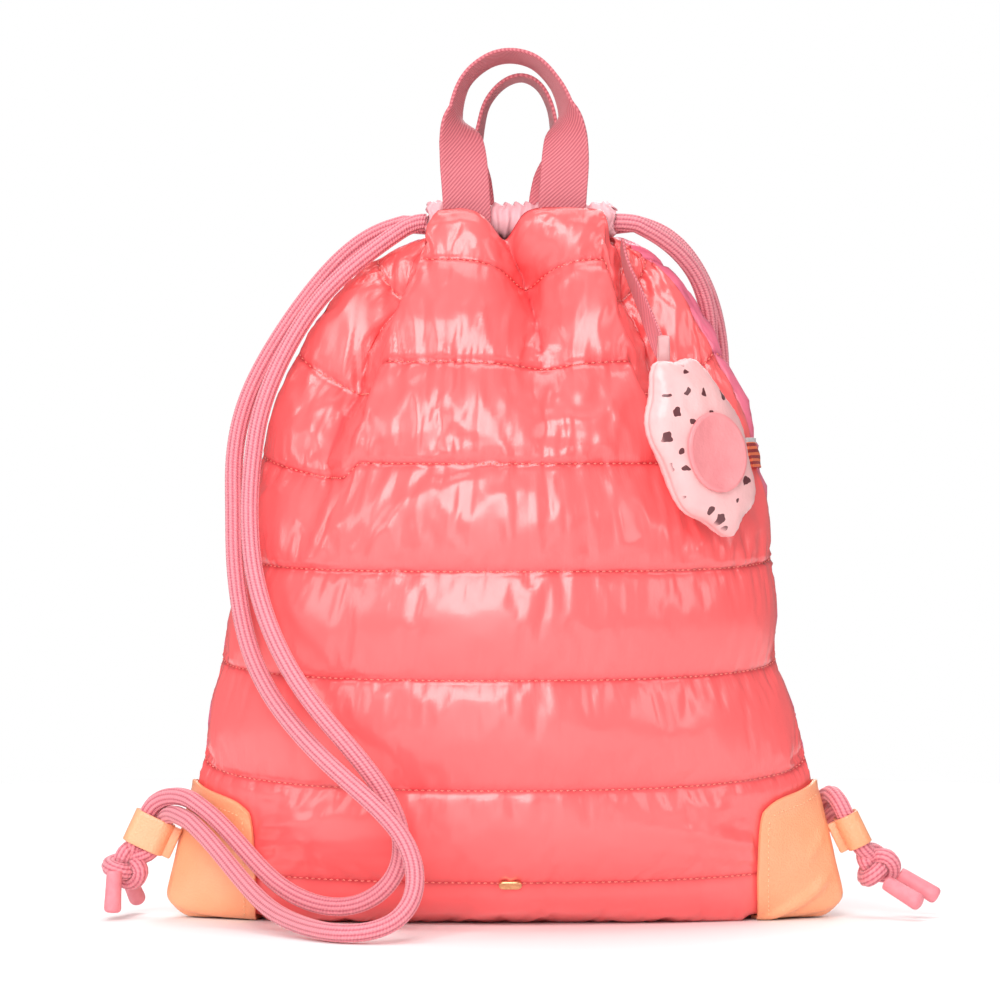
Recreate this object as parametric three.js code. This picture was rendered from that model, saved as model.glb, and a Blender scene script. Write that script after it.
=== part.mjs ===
// A quilted puffer drawstring backpack, standing on its base.
// Millimetres, +Z up. The origin is on the base, under the mouth, and the front faces -Y.
import * as THREE from 'three';

// Driving sizes
const WALL = 4;
const FRONT_PUFF = 7;
const BACK_PUFF = 8;
const PANEL_GAP = 0.3;
const SEAT_GAP = 0.4;
const WEBBING_WIDTH = 25;
const WEBBING_THICK = 1.8;
const CORD_DIAMETER = 9;
const CORD_SIDES = 8;
const CORD_STEPS = 20;
const LEATHER_THICK = 1.8;
const LEATHER_GAP = 1.0;
const TUNNEL_WALL = 1.2;

// The panels. Each row is a sewn line across a panel, from the seam under the base up to the mouth.
// rise and edge: its height at the middle and at the side seams. half: half the width between the seams.
// lean: sideways shift. front and back: depth of each panel. point: how sharply the sides come together.
// floor: share of the wall that thickens upwards, as it does on the base.
const OUTLINE_COLUMNS = ['rise', 'edge', 'half', 'lean', 'front', 'back', 'point', 'floor'];
const OUTLINE = [
  [0, 1, 171, 0, -12, 12, 2.5, 1], // seam under the base
  [0, 10, 176, 0, 24, 44, 1.5, 0.8], // edge of the flat base
  [24, 36, 171, 0, 61, 64, 1.6, 0.15], // lowest quilting seam
  [72.5, 86, 158.5, 0, 79, 77, 1.5, 0],
  [129, 138, 146, -3, 86, 83, 1.3, 0],
  [184.5, 191, 138, 2, 87, 84, 1.15, 0],
  [239.5, 245, 129.5, 2, 81, 78, 1.05, 0],
  [292, 299, 109.5, 1, 67, 64, 1, 0],
  [339, 345, 71, 4, 46, 46, 1, 0], // highest quilting seam
  [374, 357, 40, 8, 34, 36, 1, 0], // edge of the mouth
];

// The gathers that the drawstring makes, on the same rows.
// spread: how far the front lobes push out sideways. recess and drop: how far the panel falls back and down
// outside the two pleats. valley and notch: depth and drop of the fold between the lobes, at valleyAt.
// seamForward: how far the side seams are pulled to the front. overhang: how far the back panel swells
// past the right seam, so that it shows from the front.
const GATHER_COLUMNS = [
  'spread', 'recess', 'drop', 'valley', 'notch', 'valleyAt', 'seamForward', 'overhang',
];
const GATHERS = [
  [0, 0, 0, 0, 0, 0.1, 0, 0],
  [0, 0, 0, 0, 0, 0.1, 0, 0],
  [0, 0, 0, 0, 0, 0.1, 0, 0],
  [0, 0, 0, 0, 0, 0.1, 0, 0],
  [0, 0, 0, 0, 0, 0.1, 0, 0],
  [0, 0, 0, 0, 0, 0.1, 3, 0],
  [-7, 10, 7, 0, 0, 0.1, 8, 4],
  [-8, 20, 16, 3, 1, 0.1, 13, 8],
  [2, 21, 16, 14, 12, 0.05, 14, 8],
  [18, 9, 16, 4, 13, -0.06, 12, 2],
];
const LEFT_SEAM_SHARE = 0.4;
const PLEAT_DROP = 0.42;
const PLEAT_START = 0.5;
const PLEAT_END = 0.57;
const PLEAT_FADE = 1.3;
const VALLEY_WIDTH = 0.13;
const SPREAD_POWER = 1.5;
const FOLD_LIMIT = 0.7;
const OVERHANG_START = 0.6;
const OVERHANG_SWELL = 1.8;
const SEAM_SWEEP = 3;
const BASE_FLAT = 0.36;
const LOWEST_QUILT_ROW = 2;
const LOWEST_PUFF = 0.5;
const PUFF_ROUND = 0.75;
const PUFF_SIDE_POWER = 10;
const MOUTH_ROW = OUTLINE.length - 1;
const BASE_ROWS = [0, 0.5, 1, 1.35, 1.7];
const CHANNEL_STEPS = [0, 0.2, 0.5, 0.8];
const HALF_COLUMNS = [0.1, 0.2, 0.3, 0.4, 0.48, 0.53, 0.58, 0.67, 0.78, 0.88, 0.95, 1];

// The leather corner patches, in shares of a panel's half width and in rows.
const PATCH_INNER = 0.49;
const PATCH_FOOT_ROW = 0.65;
const PATCH_HEM = 0.8;
const PATCH_TOP_ROW = 2.82;
const PATCH_SLOPE = 0.15;
const PATCH_STEPS = 7;
const PATCH_EDGE_LIFT = 1.7;
const PATCH_ROOM = LEATHER_GAP + LEATHER_THICK + 0.4;
const PATCH_LIFT_AT = [0.38, 0.5];
const PATCH_LIFT_ROWS = [0.9, 1.9];
const PATCH_TAPER = 0.16;
const PUFF_PRESSED_AT = [0.4, 0.6];
const PUFF_PRESSED_ROWS = [2.6, 3];

// The drawstring tunnels: gathered sleeves along the mouth, one at the front and one at the back.
const TUNNEL = { left: -41, right: 57, height: 18, depth: 14.5, middle: 368, frontY: -13.2, backY: 15.2 };
const TUNNEL_SIDES = 8;
const TUNNEL_STEPS = 8;
const TUNNEL_RUFFLE = 0.7;

// Handle routes as rows of x, y, z and the turn of the webbing in degrees from facing the front.
const FRONT_HANDLE = [
  [-20, -21.8, 352, 0], [-20, -21.8, 374, 0], [-21.5, -20, 395, 4], [-23, -17, 409, 25],
  [-26, -13, 424, 76], [-21, -10, 441, 80], [-10, -8, 451.5, 80], [2.5, -7, 455, 80],
  [15.5, -8, 451.5, 80], [26, -10, 440.5, 80],
  [32, -13, 426, 74], [32, -17, 411, 28], [31.5, -20, 396, 4], [30, -21.8, 374, 0], [30, -21.8, 352, 0],
];
const BACK_HANDLE = [
  [-18, 23.5, 352, 0], [-18, 23.5, 374, 0], [-18, 22, 392, 35], [-16.5, 19, 405, 78],
  [-13.5, 16.5, 418, 84], [-9.5, 15.5, 432, 86], [-1, 15, 442, 87], [9, 14.5, 445.5, 88],
  [18, 15, 441, 87], [24, 15.5, 430, 86],
  [26.5, 17, 416, 84], [27, 19, 404, 76], [26, 22, 392, 35], [25, 23.5, 374, 0], [25, 23.5, 352, 0],
];

// Cord routes, from inside the tunnel's mouth to the mouth of the leather loop.
const CORD_ROUTES = {
  cord_left_outer: [
    [-41.3, 15.2, 367], [-48, 15.2, 367.5], [-58, 15, 368], [-72, 13, 362], [-86, 10, 351], [-101, 7, 334],
    [-116, 3, 313], [-128, 0, 293], [-136, -4, 276], [-141, -8, 258], [-143, -13, 238], [-142, -20, 220],
    [-141, -32, 189], [-136, -46, 157], [-129, -57, 136], [-117, -71, 116], [-98, -88, 95], [-81, -99, 80],
    [-63, -107, 65], [-50, -113, 51], [-44, -119, 35], [-45, -125, 21], [-52, -130, 11], [-65, -134, 6],
    [-80, -133, 5], [-98, -114, 6], [-117, -88, 11], [-128, -72, 19], [-140, -56, 32], [-152, -43, 45],
    [-164, -30, 57], [-172, -18, 63], [-176, -7, 62], [-178.2, -3, 54.9],
  ],
  cord_left_inner: [
    [-41.3, -13.4, 367], [-47, -13.8, 366.4], [-58, -16, 361], [-72, -19, 350], [-88, -20, 337],
    [-102, -20, 321],
    [-114, -22, 301], [-122, -25, 284], [-129, -29, 263], [-132, -34, 237], [-133, -39, 220],
    [-131, -49, 189],
    [-124, -62, 163], [-113, -75, 139], [-98, -85, 117], [-81, -91, 98], [-67, -93, 81], [-57, -92, 66],
    [-52, -90, 51], [-52, -87, 37], [-57, -84, 26], [-67, -82, 17], [-82, -80, 12], [-97, -77, 14],
    [-113, -68, 22], [-126, -56, 35], [-137, -44, 49], [-149, -33, 61], [-161, -23, 70], [-173, -14, 75],
    [-183, -6, 70], [-186.6, -3, 58.8],
  ],
  cord_right_outer: [
    [57.3, 15.2, 367], [65, 15.3, 368], [76, 17, 368], [88, 20, 362], [98, 24, 352], [108, 30, 335],
    [119, 40, 313], [126, 47, 288], [128, 53, 260], [126, 60, 230], [120, 67, 195], [113, 74, 160],
    [106, 82, 125], [97, 90, 92], [88, 98, 60], [79, 108, 32], [73, 120, 12], [76, 134, 6],
    [89, 142, 5], [106, 134, 5], [121, 115, 5], [134, 91, 9], [146, 66, 22], [157, 44, 40],
    [166, 27, 55], [173, 14, 62], [176.8, 8, 62.6], [178.5, 6.1, 57.6],
  ],
  cord_right_inner: [
    [57.3, -13.4, 367], [64, -13.4, 367], [74, -12, 365], [84, -8, 359], [93, -2, 352], [101, 6, 343],
    [107, 14, 333], [111, 20, 322], [113, 27, 307], [113, 36, 288], [112, 47, 265], [109, 57, 238],
    [103, 67, 205], [94, 76, 172], [83, 84, 138], [72, 91, 104], [61, 97, 72], [50, 104, 43],
    [42, 114, 20], [40, 128, 7], [48, 150, 5], [66, 163, 5], [90, 164, 5], [114, 152, 5],
    [135, 128, 5], [149, 100, 7], [162, 72, 18], [172, 46, 36], [178, 28, 60], [181, 15, 76],
    [182, 3, 81], [179.8, -3, 72.5], [178.5, -3.1, 57.6],
  ],
};

// The leather loops that hold the cords, and the knots and tips below them.
const LOOPS = {
  left: { centre: [-188.1, -3, 45.5], down: [-0.423, 0, -0.906], along: [0.906, 0, -0.423], tailAt: 0 },
  right: { centre: [184.1, 1.5, 46.3], down: [0.44, 0, -0.898], along: [0, -1, 0], tailAt: 90 },
};
const LOOP_LENGTH = 18;
const LOOP_PITCH = 4.6;
const LOOP_TAIL = 1.9;
const LOOP_TAIL_HALF_WIDTH = 2.2;
const LOOP_SIDES = 16;
const KNOT_RADIUS = 7.2;
const KNOT_CORD = 3.5;
const KNOT_STEPS = 24;
const KNOT_SIDES = 6;
const KNOTS = { left: [-200.04, -3, 27.5], right: [196.8, 1.8, 27.6] };
const TIP_LENGTH = 22;
const TIP_RADIUS = 4.3;
const TIPS = {
  cord_tip_left_a: { top: [-205.5, -13.5, 25.8], end: [-206.5, -14.1, 3.8] },
  cord_tip_left_b: { top: [-200.1, 5.3, 21.4], end: [-196.1, 22.5, 7] },
  cord_tip_right_a: { top: [201.4, -6.4, 18.9], end: [218.4, -17, 8.8] },
  cord_tip_right_b: { top: [209.2, 3.4, 22.7], end: [229.2, -1, 10.8] },
};

// The padded pouch that hangs at the right, with its strap, tape and oval patch.
const CHARM = { centre: [99.3, -77.9, 248.7], length: 98, width: 54, thick: 24, turn: 35, tilt: 28 };
const CHARM_LOBES = 7;
const CHARM_LOBE_DEPTH = 0.07;
const CHARM_SIDES = 24;
const CHARM_RINGS = 6;
const CHARM_ROUND = 0.94;
const CHARM_FULLNESS = 0.6;
const CHARM_PATCH = { length: 42, width: 36, thick: 1.6, drop: 4 };
const STRAP_WIDTH = 10;
const STRAP_THICK = 1.5;
const CHARM_STRAP = [
  [61.3, -24.6, 356, 80], [63.3, -29.6, 345, 80], [70, -38, 328, 80], [77, -47, 311, 78],
  [81.5, -60, 297, 80],
];
const TAPE = { centre: [81, -74.1, 295], radius: 10, thick: 1.4, sides: 5, steps: 12 };

// The folded tab in the right side seam, and the stud on the lowest quilting seam.
const TAB = { at: 0.91, row: 6.05, width: 16, length: 22, thick: 2, lift: 2.8 };
const STUD = { at: 0.01, row: 2, length: 12, height: 5, thick: 2.2, lift: 1.8 };

const BAG_MIDDLE = new THREE.Vector3(0, 0, 150);

const finish = (color, roughness, metalness = 0) =>
  new THREE.MeshStandardMaterial({ color, roughness, metalness });
const FINISHES = {
  coral_nylon: finish(0xff7073, 0.35),
  pink_nylon: finish(0xf0709a, 0.35),
  tunnel_cloth: finish(0xf9c4ca, 0.75),
  webbing: finish(0xe27f8f, 0.85),
  leather: finish(0xffb27d, 0.5),
  cord: finish(0xee8d9b, 0.85),
  cord_tip: finish(0xf29aa5, 0.5),
  charm_cloth: finish(0xf9d0d0, 0.55),
  charm_patch: finish(0xf3b4bb, 0.6),
  tab: finish(0xc8424a, 0.5),
  metal: finish(0xd9b58a, 0.3, 1),
};

const backpack = new THREE.Group();

function add(name, geometry, material) {
  const mesh = new THREE.Mesh(geometry, FINISHES[material]);
  mesh.name = name;
  backpack.add(mesh);
  return mesh;
}

const clamp01 = (value) => Math.min(Math.max(value, 0), 1);

function smoothstep(from, to, value) {
  const share = clamp01((value - from) / (to - from));
  return share * share * (3 - 2 * share);
}

// Value of a table column between rows, on a curve that never overshoots them.
function columnAt(table, column, row) {
  const low = Math.min(Math.floor(row), table.length - 2);
  const rise = (k) => table[k + 1][column] - table[k][column];
  const slope = (k) => {
    if (k === 0) return rise(0);
    if (k === table.length - 1) return rise(k - 1);
    const [before, after] = [rise(k - 1), rise(k)];
    return before * after <= 0 ? 0 : (2 * before * after) / (before + after);
  };
  const u = row - low;
  const [start, end] = [table[low][column], table[low + 1][column]];
  const [startSlope, endSlope] = [slope(low), slope(low + 1)];
  const jump = 3 * (end - start) - 2 * startSlope - endSlope;
  const curl = 2 * (start - end) + startSlope + endSlope;
  return start + u * (startSlope + u * (jump + u * curl));
}

function rowAt(columns, table, row) {
  return Object.fromEntries(columns.map((name, column) => [name, columnAt(table, column, row)]));
}

// A point of a panel before it puffs. side is -1 for the front and 1 for the back, at runs from -1 at the
// left seam to 1 at the right seam, and inset moves it through the wall.
function panelPoint(side, at, row, inset = 0, gathered = true) {
  const outline = rowAt(OUTLINE_COLUMNS, OUTLINE, row);
  const gather = rowAt(GATHER_COLUMNS, GATHERS, row);
  const reach = Math.abs(at);
  const angle = (at * Math.PI) / 2;
  const crown = Math.max(Math.cos(angle), 0) ** outline.point;
  const seamForward = gather.seamForward * (at < 0 ? LEFT_SEAM_SHARE : 1);
  const pleatFade = Math.max(1 - Math.max(reach - PLEAT_END, 0) / (1 - PLEAT_END), 0) ** PLEAT_FADE;
  const pleat = gathered ? smoothstep(PLEAT_START, PLEAT_END, reach) * pleatFade : 0;
  const pleatDrop = gathered ? smoothstep(PLEAT_DROP, PLEAT_START, reach) * pleatFade : 0;
  const valley = gathered ? Math.exp(-(((at - gather.valleyAt) / VALLEY_WIDTH) ** 2)) : 0;
  const spread = gathered ? gather.spread * Math.sin(Math.PI * reach) ** SPREAD_POWER : 0;
  const depth = side < 0 ? outline.front : outline.back;
  const deepest = FOLD_LIMIT * Math.max(depth, 0) * crown;
  const fall = Math.min(gather.recess * pleat + gather.valley * valley, deepest);
  const sunk = (depth - inset * (1 - outline.floor)) * crown - fall;
  const patchLift = smoothstep(...PATCH_LIFT_AT, reach) * (1 - smoothstep(...PATCH_LIFT_ROWS, row));
  const flat = BASE_FLAT * (1 - smoothstep(1, LOWEST_QUILT_ROW, row));
  const sweep = clamp01((reach - flat) / (1 - flat)) ** SEAM_SWEEP;
  const swell = Math.sin(Math.PI * clamp01((at - OVERHANG_START) / (1 - OVERHANG_START)));
  const tuck = smoothstep(OVERHANG_START, 1, at) - (side > 0 ? OVERHANG_SWELL * swell : 0);
  const x = outline.lean + (outline.half - inset) * Math.sin(angle) + Math.sign(at) * spread
    - gather.overhang * tuck;
  const y = side * sunk - seamForward * (1 - crown) + (side * PANEL_GAP) / 2;
  const z = outline.rise + (outline.edge - outline.rise) * sweep - gather.drop * pleatDrop
    - gather.notch * valley + PATCH_ROOM * patchLift + inset * outline.floor;
  return new THREE.Vector3(x, y, z);
}

// Outward direction of the panel, without its gathers.
function panelNormal(side, at, row) {
  const step = 0.01;
  const inner = THREE.MathUtils.clamp(at, -0.97, 0.97);
  const low = THREE.MathUtils.clamp(row, step, MOUTH_ROW - step);
  const smooth = (pointAt, pointRow) => panelPoint(side, pointAt, pointRow, 0, false);
  const across = smooth(inner + step, low).sub(smooth(inner - step, low));
  const up = smooth(inner, low + step).sub(smooth(inner, low - step));
  const normal = across.cross(up).normalize();
  const outward = smooth(inner, low).sub(BAG_MIDDLE);
  return normal.dot(outward) < 0 ? normal.negate() : normal;
}

// How far the filling lifts the panel between its sewn lines.
function puffAt(side, at, row) {
  const height = side < 0 ? FRONT_PUFF : BACK_PUFF;
  const channel = row < LOWEST_QUILT_ROW ? clamp01(row - 1) : row % 1;
  const crown = (4 * channel * (1 - channel)) ** PUFF_ROUND;
  const sewnSide = Math.sqrt(Math.max(1 - Math.abs(at) ** PUFF_SIDE_POWER, 0));
  const pressed = smoothstep(...PUFF_PRESSED_AT, Math.abs(at));
  const underPatch = pressed * (1 - smoothstep(...PUFF_PRESSED_ROWS, row));
  return height * crown * sewnSide * (1 - underPatch) * (row < LOWEST_QUILT_ROW ? LOWEST_PUFF : 1);
}

function panelSurface(side, at, row, lift = 0) {
  const normal = panelNormal(side, at, row);
  return panelPoint(side, at, row).addScaledVector(normal, puffAt(side, at, row) + lift);
}

// Two chains of corner numbers that run side by side become a strip of faces.
function strip(upper, lower) {
  const faces = [];
  let [i, j] = [0, 0];
  while (i < upper.length - 1 || j < lower.length - 1) {
    const upperShare = (i + 1) / (upper.length - 1);
    const lowerShare = (j + 1) / (lower.length - 1);
    if (j === lower.length - 1 || (i < upper.length - 1 && upperShare <= lowerShare)) {
      faces.push([upper[i], upper[i + 1], lower[j]]);
      i += 1;
    } else {
      faces.push([upper[i], lower[j + 1], lower[j]]);
      j += 1;
    }
  }
  return faces;
}

function meanVolume(points, faces) {
  return faces.reduce((sum, [a, b, c]) => sum + points[a].dot(points[b].clone().cross(points[c])), 0);
}

// Closed rings of points become a solid. An open row of rings gets an end face at each end.
function loft(rings, closed = false) {
  const size = rings[0].length;
  const points = rings.flat();
  const faces = [];
  const spans = closed ? rings.length : rings.length - 1;
  for (let k = 0; k < spans; k += 1) {
    const [low, high] = [k * size, ((k + 1) % rings.length) * size];
    for (let i = 0; i < size; i += 1) {
      const next = (i + 1) % size;
      faces.push([low + i, low + next, high + next], [low + i, high + next, high + i]);
    }
  }
  if (!closed) {
    const half = Math.floor(size / 2);
    const chain = (start, from, to) =>
      Array.from({ length: Math.abs(to - from) + 1 }, (_, i) => start + from + i * Math.sign(to - from));
    const endFace = (start) => strip(chain(start, 0, half - 1), chain(start, size - 1, half));
    endFace(0).forEach((face) => faces.push(face.reverse()));
    endFace(size * (rings.length - 1)).forEach((face) => faces.push(face));
  }
  const inward = meanVolume(points, faces) < 0;
  const geometry = new THREE.BufferGeometry().setFromPoints(points);
  geometry.setIndex(faces.flatMap(([a, b, c]) => (inward ? [a, c, b] : [a, b, c])));
  geometry.computeVertexNormals();
  return geometry;
}

// Front and back panels
const columns = [...HALF_COLUMNS.map((at) => -at).reverse(), 0, ...HALF_COLUMNS];
const quiltRows = [];
for (let row = LOWEST_QUILT_ROW; row < MOUTH_ROW; row += 1) {
  CHANNEL_STEPS.forEach((step) => quiltRows.push(row + step));
}
const panelRows = [...BASE_ROWS, ...quiltRows, MOUTH_ROW];

function panel(side) {
  const rings = panelRows.map((row) => {
    const outside = columns.map((at) => panelSurface(side, at, row));
    const inside = columns.map((at) => panelPoint(side, at, row, WALL)).reverse();
    return [...outside, ...inside];
  });
  return loft(rings);
}

add('front_panel', panel(-1), 'coral_nylon');
add('back_panel', panel(1), 'pink_nylon');

// Corner patches: one leather piece that runs from the front panel round the side seam to the back panel.
function patchPoint(hand, across, up, lift) {
  const side = across < 0 ? -1 : 1;
  const reach = Math.abs(across);
  const at = hand * (1 - reach * (1 - PATCH_INNER) * (1 - PATCH_TAPER * up ** 3));
  const row = PATCH_FOOT_ROW + up * (PATCH_TOP_ROW - PATCH_SLOPE * reach ** 2 - PATCH_FOOT_ROW);
  const seamLift = new THREE.Vector3(hand * lift * PATCH_EDGE_LIFT, PANEL_GAP / 2, 0);
  const seamPoint = panelPoint(-1, hand, row).add(seamLift);
  const point = reach === 0 ? seamPoint : panelSurface(side, at, row, lift);
  return up === 0 ? point.setZ(PATCH_HEM) : point;
}

function cornerPatch(hand) {
  const across = Array.from({ length: 2 * PATCH_STEPS + 1 }, (_, i) => i / PATCH_STEPS - 1);
  const rings = [];
  for (let k = 0; k <= PATCH_STEPS; k += 1) {
    const face = (lift) => across.map((share) => patchPoint(hand, share, k / PATCH_STEPS, lift));
    rings.push([...face(LEATHER_GAP + LEATHER_THICK), ...face(LEATHER_GAP).reverse()]);
  }
  return loft(rings);
}

add('corner_patch_left', cornerPatch(-1), 'leather');
add('corner_patch_right', cornerPatch(1), 'leather');

// Drawstring tunnels: open sleeves whose gathers swell and shrink along their length.
function tunnel(middleY) {
  const rings = [];
  for (let k = 0; k < TUNNEL_SIDES; k += 1) {
    const angle = (2 * Math.PI * k) / TUNNEL_SIDES;
    const run = (inset) =>
      Array.from({ length: TUNNEL_STEPS + 1 }, (_, i) => {
        const ruffle = i % 2 ? 0 : -TUNNEL_RUFFLE;
        const x = THREE.MathUtils.lerp(TUNNEL.left, TUNNEL.right, i / TUNNEL_STEPS);
        const y = middleY + (TUNNEL.depth / 2 + ruffle - inset) * Math.cos(angle);
        const z = TUNNEL.middle + (TUNNEL.height / 2 + ruffle - inset) * Math.sin(angle);
        return new THREE.Vector3(x, y, z);
      });
    rings.push([...run(0), ...run(TUNNEL_WALL).reverse()]);
  }
  return loft(rings, true);
}

add('tunnel_front', tunnel(TUNNEL.frontY), 'tunnel_cloth');
add('tunnel_back', tunnel(TUNNEL.backY), 'tunnel_cloth');

// Webbing: a flat band along a smooth line. Its width turns from sideways, in the legs, to front and back.
function band(route, width, thick, stations) {
  const line = new THREE.CatmullRomCurve3(route.map(([x, y, z]) => new THREE.Vector3(x, y, z)));
  const depthAxis = new THREE.Vector3(0, -1, 0);
  const rings = [];
  for (let k = 0; k <= stations; k += 1) {
    const share = k / stations;
    const centre = line.getPoint(share);
    const along = line.getTangent(share);
    const outward = depthAxis.clone().cross(along).normalize();
    const turnRow = share * (route.length - 1);
    const turn = THREE.MathUtils.degToRad(columnAt(route, 3, turnRow));
    const wide = outward.multiplyScalar(Math.cos(turn)).addScaledVector(depthAxis, Math.sin(turn));
    wide.addScaledVector(along, -wide.dot(along)).normalize();
    const deep = along.clone().cross(wide);
    const corner = (u, v) =>
      centre.clone().addScaledVector(wide, (u * width) / 2).addScaledVector(deep, (v * thick) / 2);
    rings.push([corner(-1, -1), corner(1, -1), corner(1, 1), corner(-1, 1)]);
  }
  return loft(rings);
}

add('front_handle', band(FRONT_HANDLE, WEBBING_WIDTH, WEBBING_THICK, 30), 'webbing');
add('back_handle', band(BACK_HANDLE, WEBBING_WIDTH, WEBBING_THICK, 26), 'webbing');

// Cords: round sections swept along their routes.
function roundSection(radius, sides) {
  const corner = (i) =>
    new THREE.Vector2(radius, 0).rotateAround(new THREE.Vector2(), (2 * Math.PI * i) / sides);
  return new THREE.Shape(Array.from({ length: sides }, (_, i) => corner(i)));
}

for (const [name, route] of Object.entries(CORD_ROUTES)) {
  const path = new THREE.CatmullRomCurve3(route.map((point) => new THREE.Vector3(...point)));
  const section = roundSection(CORD_DIAMETER / 2, CORD_SIDES);
  const options = { steps: CORD_STEPS, bevelEnabled: false, extrudePath: path };
  add(name, new THREE.ExtrudeGeometry(section, options), 'cord');
}

// Cord loops: a leather strip folded round both strands, with its ends sewn to the patch.
function slotOutline(radius, turn, sides) {
  return Array.from({ length: sides }, (_, i) => {
    const angle = turn + (2 * Math.PI * (i + 0.5)) / sides;
    const shift = Math.sign(Math.cos(angle)) * LOOP_PITCH;
    return new THREE.Vector2(shift + radius * Math.cos(angle), radius * Math.sin(angle));
  });
}

function loopSection(tailAt) {
  const clear = CORD_DIAMETER / 2 + SEAT_GAP;
  const outer = clear + LEATHER_THICK;
  const tail = THREE.MathUtils.degToRad(tailAt);
  const reach = outer + LOOP_PITCH * Math.abs(Math.cos(tail)) + LOOP_TAIL;
  const tailCorner = (v) => new THREE.Vector2(reach, v).rotateAround(new THREE.Vector2(), tail);
  const tailCorners = [tailCorner(-LOOP_TAIL_HALF_WIDTH), tailCorner(LOOP_TAIL_HALF_WIDTH)];
  const shape = new THREE.Shape([...slotOutline(outer, tail, LOOP_SIDES), ...tailCorners]);
  shape.holes.push(new THREE.Path(slotOutline(clear, 0, LOOP_SIDES)));
  return shape;
}

for (const [hand, { centre, down, along, tailAt }] of Object.entries(LOOPS)) {
  const options = { depth: LOOP_LENGTH, bevelEnabled: false };
  const geometry = new THREE.ExtrudeGeometry(loopSection(tailAt), options);
  geometry.translate(0, 0, -LOOP_LENGTH / 2);
  const axis = new THREE.Vector3(...down).normalize();
  const wide = new THREE.Vector3(...along).normalize();
  const deep = axis.clone().cross(wide);
  geometry.applyMatrix4(new THREE.Matrix4().makeBasis(wide, deep, axis));
  add(`cord_loop_${hand}`, geometry, 'leather').position.set(...centre);
}

// Knots below the loops, and the dipped cord ends that stick out of them.
for (const [hand, centre] of Object.entries(KNOTS)) {
  const geometry = new THREE.TorusKnotGeometry(KNOT_RADIUS, KNOT_CORD, KNOT_STEPS, KNOT_SIDES);
  geometry.rotateX(Math.PI / 2);
  add(`knot_${hand}`, geometry, 'cord').position.set(...centre);
}

const tipProfile = [[0, 0], [0.86, 0], [1, 0.2], [1, 0.75], [0.75, 0.94], [0, 1]].map(
  ([radius, along]) => new THREE.Vector2(radius * TIP_RADIUS, along * TIP_LENGTH),
);
for (const [name, { top, end }] of Object.entries(TIPS)) {
  const start = new THREE.Vector3(...top);
  const direction = new THREE.Vector3(...end).sub(start).normalize();
  const tip = add(name, new THREE.LatheGeometry(tipProfile, CORD_SIDES), 'cord_tip');
  tip.position.copy(start);
  tip.quaternion.setFromUnitVectors(new THREE.Vector3(0, 1, 0), direction);
}

// Charm pouch: a padded form with a lobed outline. In its own frame X is across, Y along and Z out of it.
function lobedOutline(angle) {
  const lobes = 1 + CHARM_LOBE_DEPTH * Math.cos(CHARM_LOBES * angle);
  const edge = new THREE.Vector2(CHARM.width * Math.cos(angle), CHARM.length * Math.sin(angle));
  return edge.multiplyScalar(lobes / 2);
}

function charmPouch() {
  const rings = [];
  for (let k = 0; k <= CHARM_RINGS; k += 1) {
    const slant = Math.PI * (k / CHARM_RINGS - 0.5) * CHARM_ROUND;
    const shrink = Math.cos(slant) ** CHARM_FULLNESS;
    const height = (CHARM.thick / 2) * Math.sin(slant);
    rings.push(Array.from({ length: CHARM_SIDES }, (_, i) => {
      const edge = lobedOutline((2 * Math.PI * i) / CHARM_SIDES).multiplyScalar(shrink);
      return new THREE.Vector3(edge.x, edge.y, height);
    }));
  }
  return loft(rings);
}

const charmFrame = new THREE.Group();
charmFrame.position.set(...CHARM.centre);
charmFrame.rotation.set(Math.PI / 2, 0, 0);
const charmTurn = new THREE.Group();
charmTurn.rotation.set(0, THREE.MathUtils.degToRad(CHARM.turn), THREE.MathUtils.degToRad(CHARM.tilt));
charmFrame.add(charmTurn);
backpack.add(charmFrame);
charmTurn.add(add('charm_pouch', charmPouch(), 'charm_cloth'));

const ovalPatch = new THREE.CylinderGeometry(0.5, 0.5, CHARM_PATCH.thick, 20);
ovalPatch.rotateX(Math.PI / 2);
ovalPatch.scale(CHARM_PATCH.width, CHARM_PATCH.length, 1);
const charmPatch = add('charm_patch', ovalPatch, 'charm_patch');
charmPatch.position.set(0, -CHARM_PATCH.drop, (CHARM.thick + CHARM_PATCH.thick) / 2 + SEAT_GAP);
charmTurn.add(charmPatch);

add('charm_strap', band(CHARM_STRAP, STRAP_WIDTH, STRAP_THICK, 10), 'webbing');
const tapeRing = new THREE.TorusGeometry(TAPE.radius, TAPE.thick, TAPE.sides, TAPE.steps);
tapeRing.rotateY(Math.PI / 2);
add('charm_tape', tapeRing, 'charm_cloth').position.set(...TAPE.centre);

// A small piece laid flat on the front panel.
function layOnFront(mesh, at, row, lift) {
  const normal = panelNormal(-1, at, row);
  const up = panelSurface(-1, at, row + 0.05).sub(panelSurface(-1, at, row - 0.05)).normalize();
  const across = up.clone().cross(normal).normalize();
  const level = normal.clone().cross(across);
  mesh.quaternion.setFromRotationMatrix(new THREE.Matrix4().makeBasis(across, level, normal));
  mesh.position.copy(panelSurface(-1, at, row, lift));
}

const tab = add('side_tab', new THREE.BoxGeometry(TAB.length, TAB.width, TAB.thick), 'tab');
layOnFront(tab, TAB.at, TAB.row, TAB.lift);

const studOutline = new THREE.Shape();
const studRadius = STUD.height / 2;
const studPitch = STUD.length / 2 - studRadius;
studOutline.absarc(-studPitch, 0, studRadius, Math.PI / 2, 1.5 * Math.PI);
studOutline.absarc(studPitch, 0, studRadius, -Math.PI / 2, Math.PI / 2);
const studForm = { depth: STUD.thick, bevelEnabled: false, curveSegments: 6 };
const stud = add('front_stud', new THREE.ExtrudeGeometry(studOutline, studForm), 'metal');
layOnFront(stud, STUD.at, STUD.row, STUD.lift);

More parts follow.
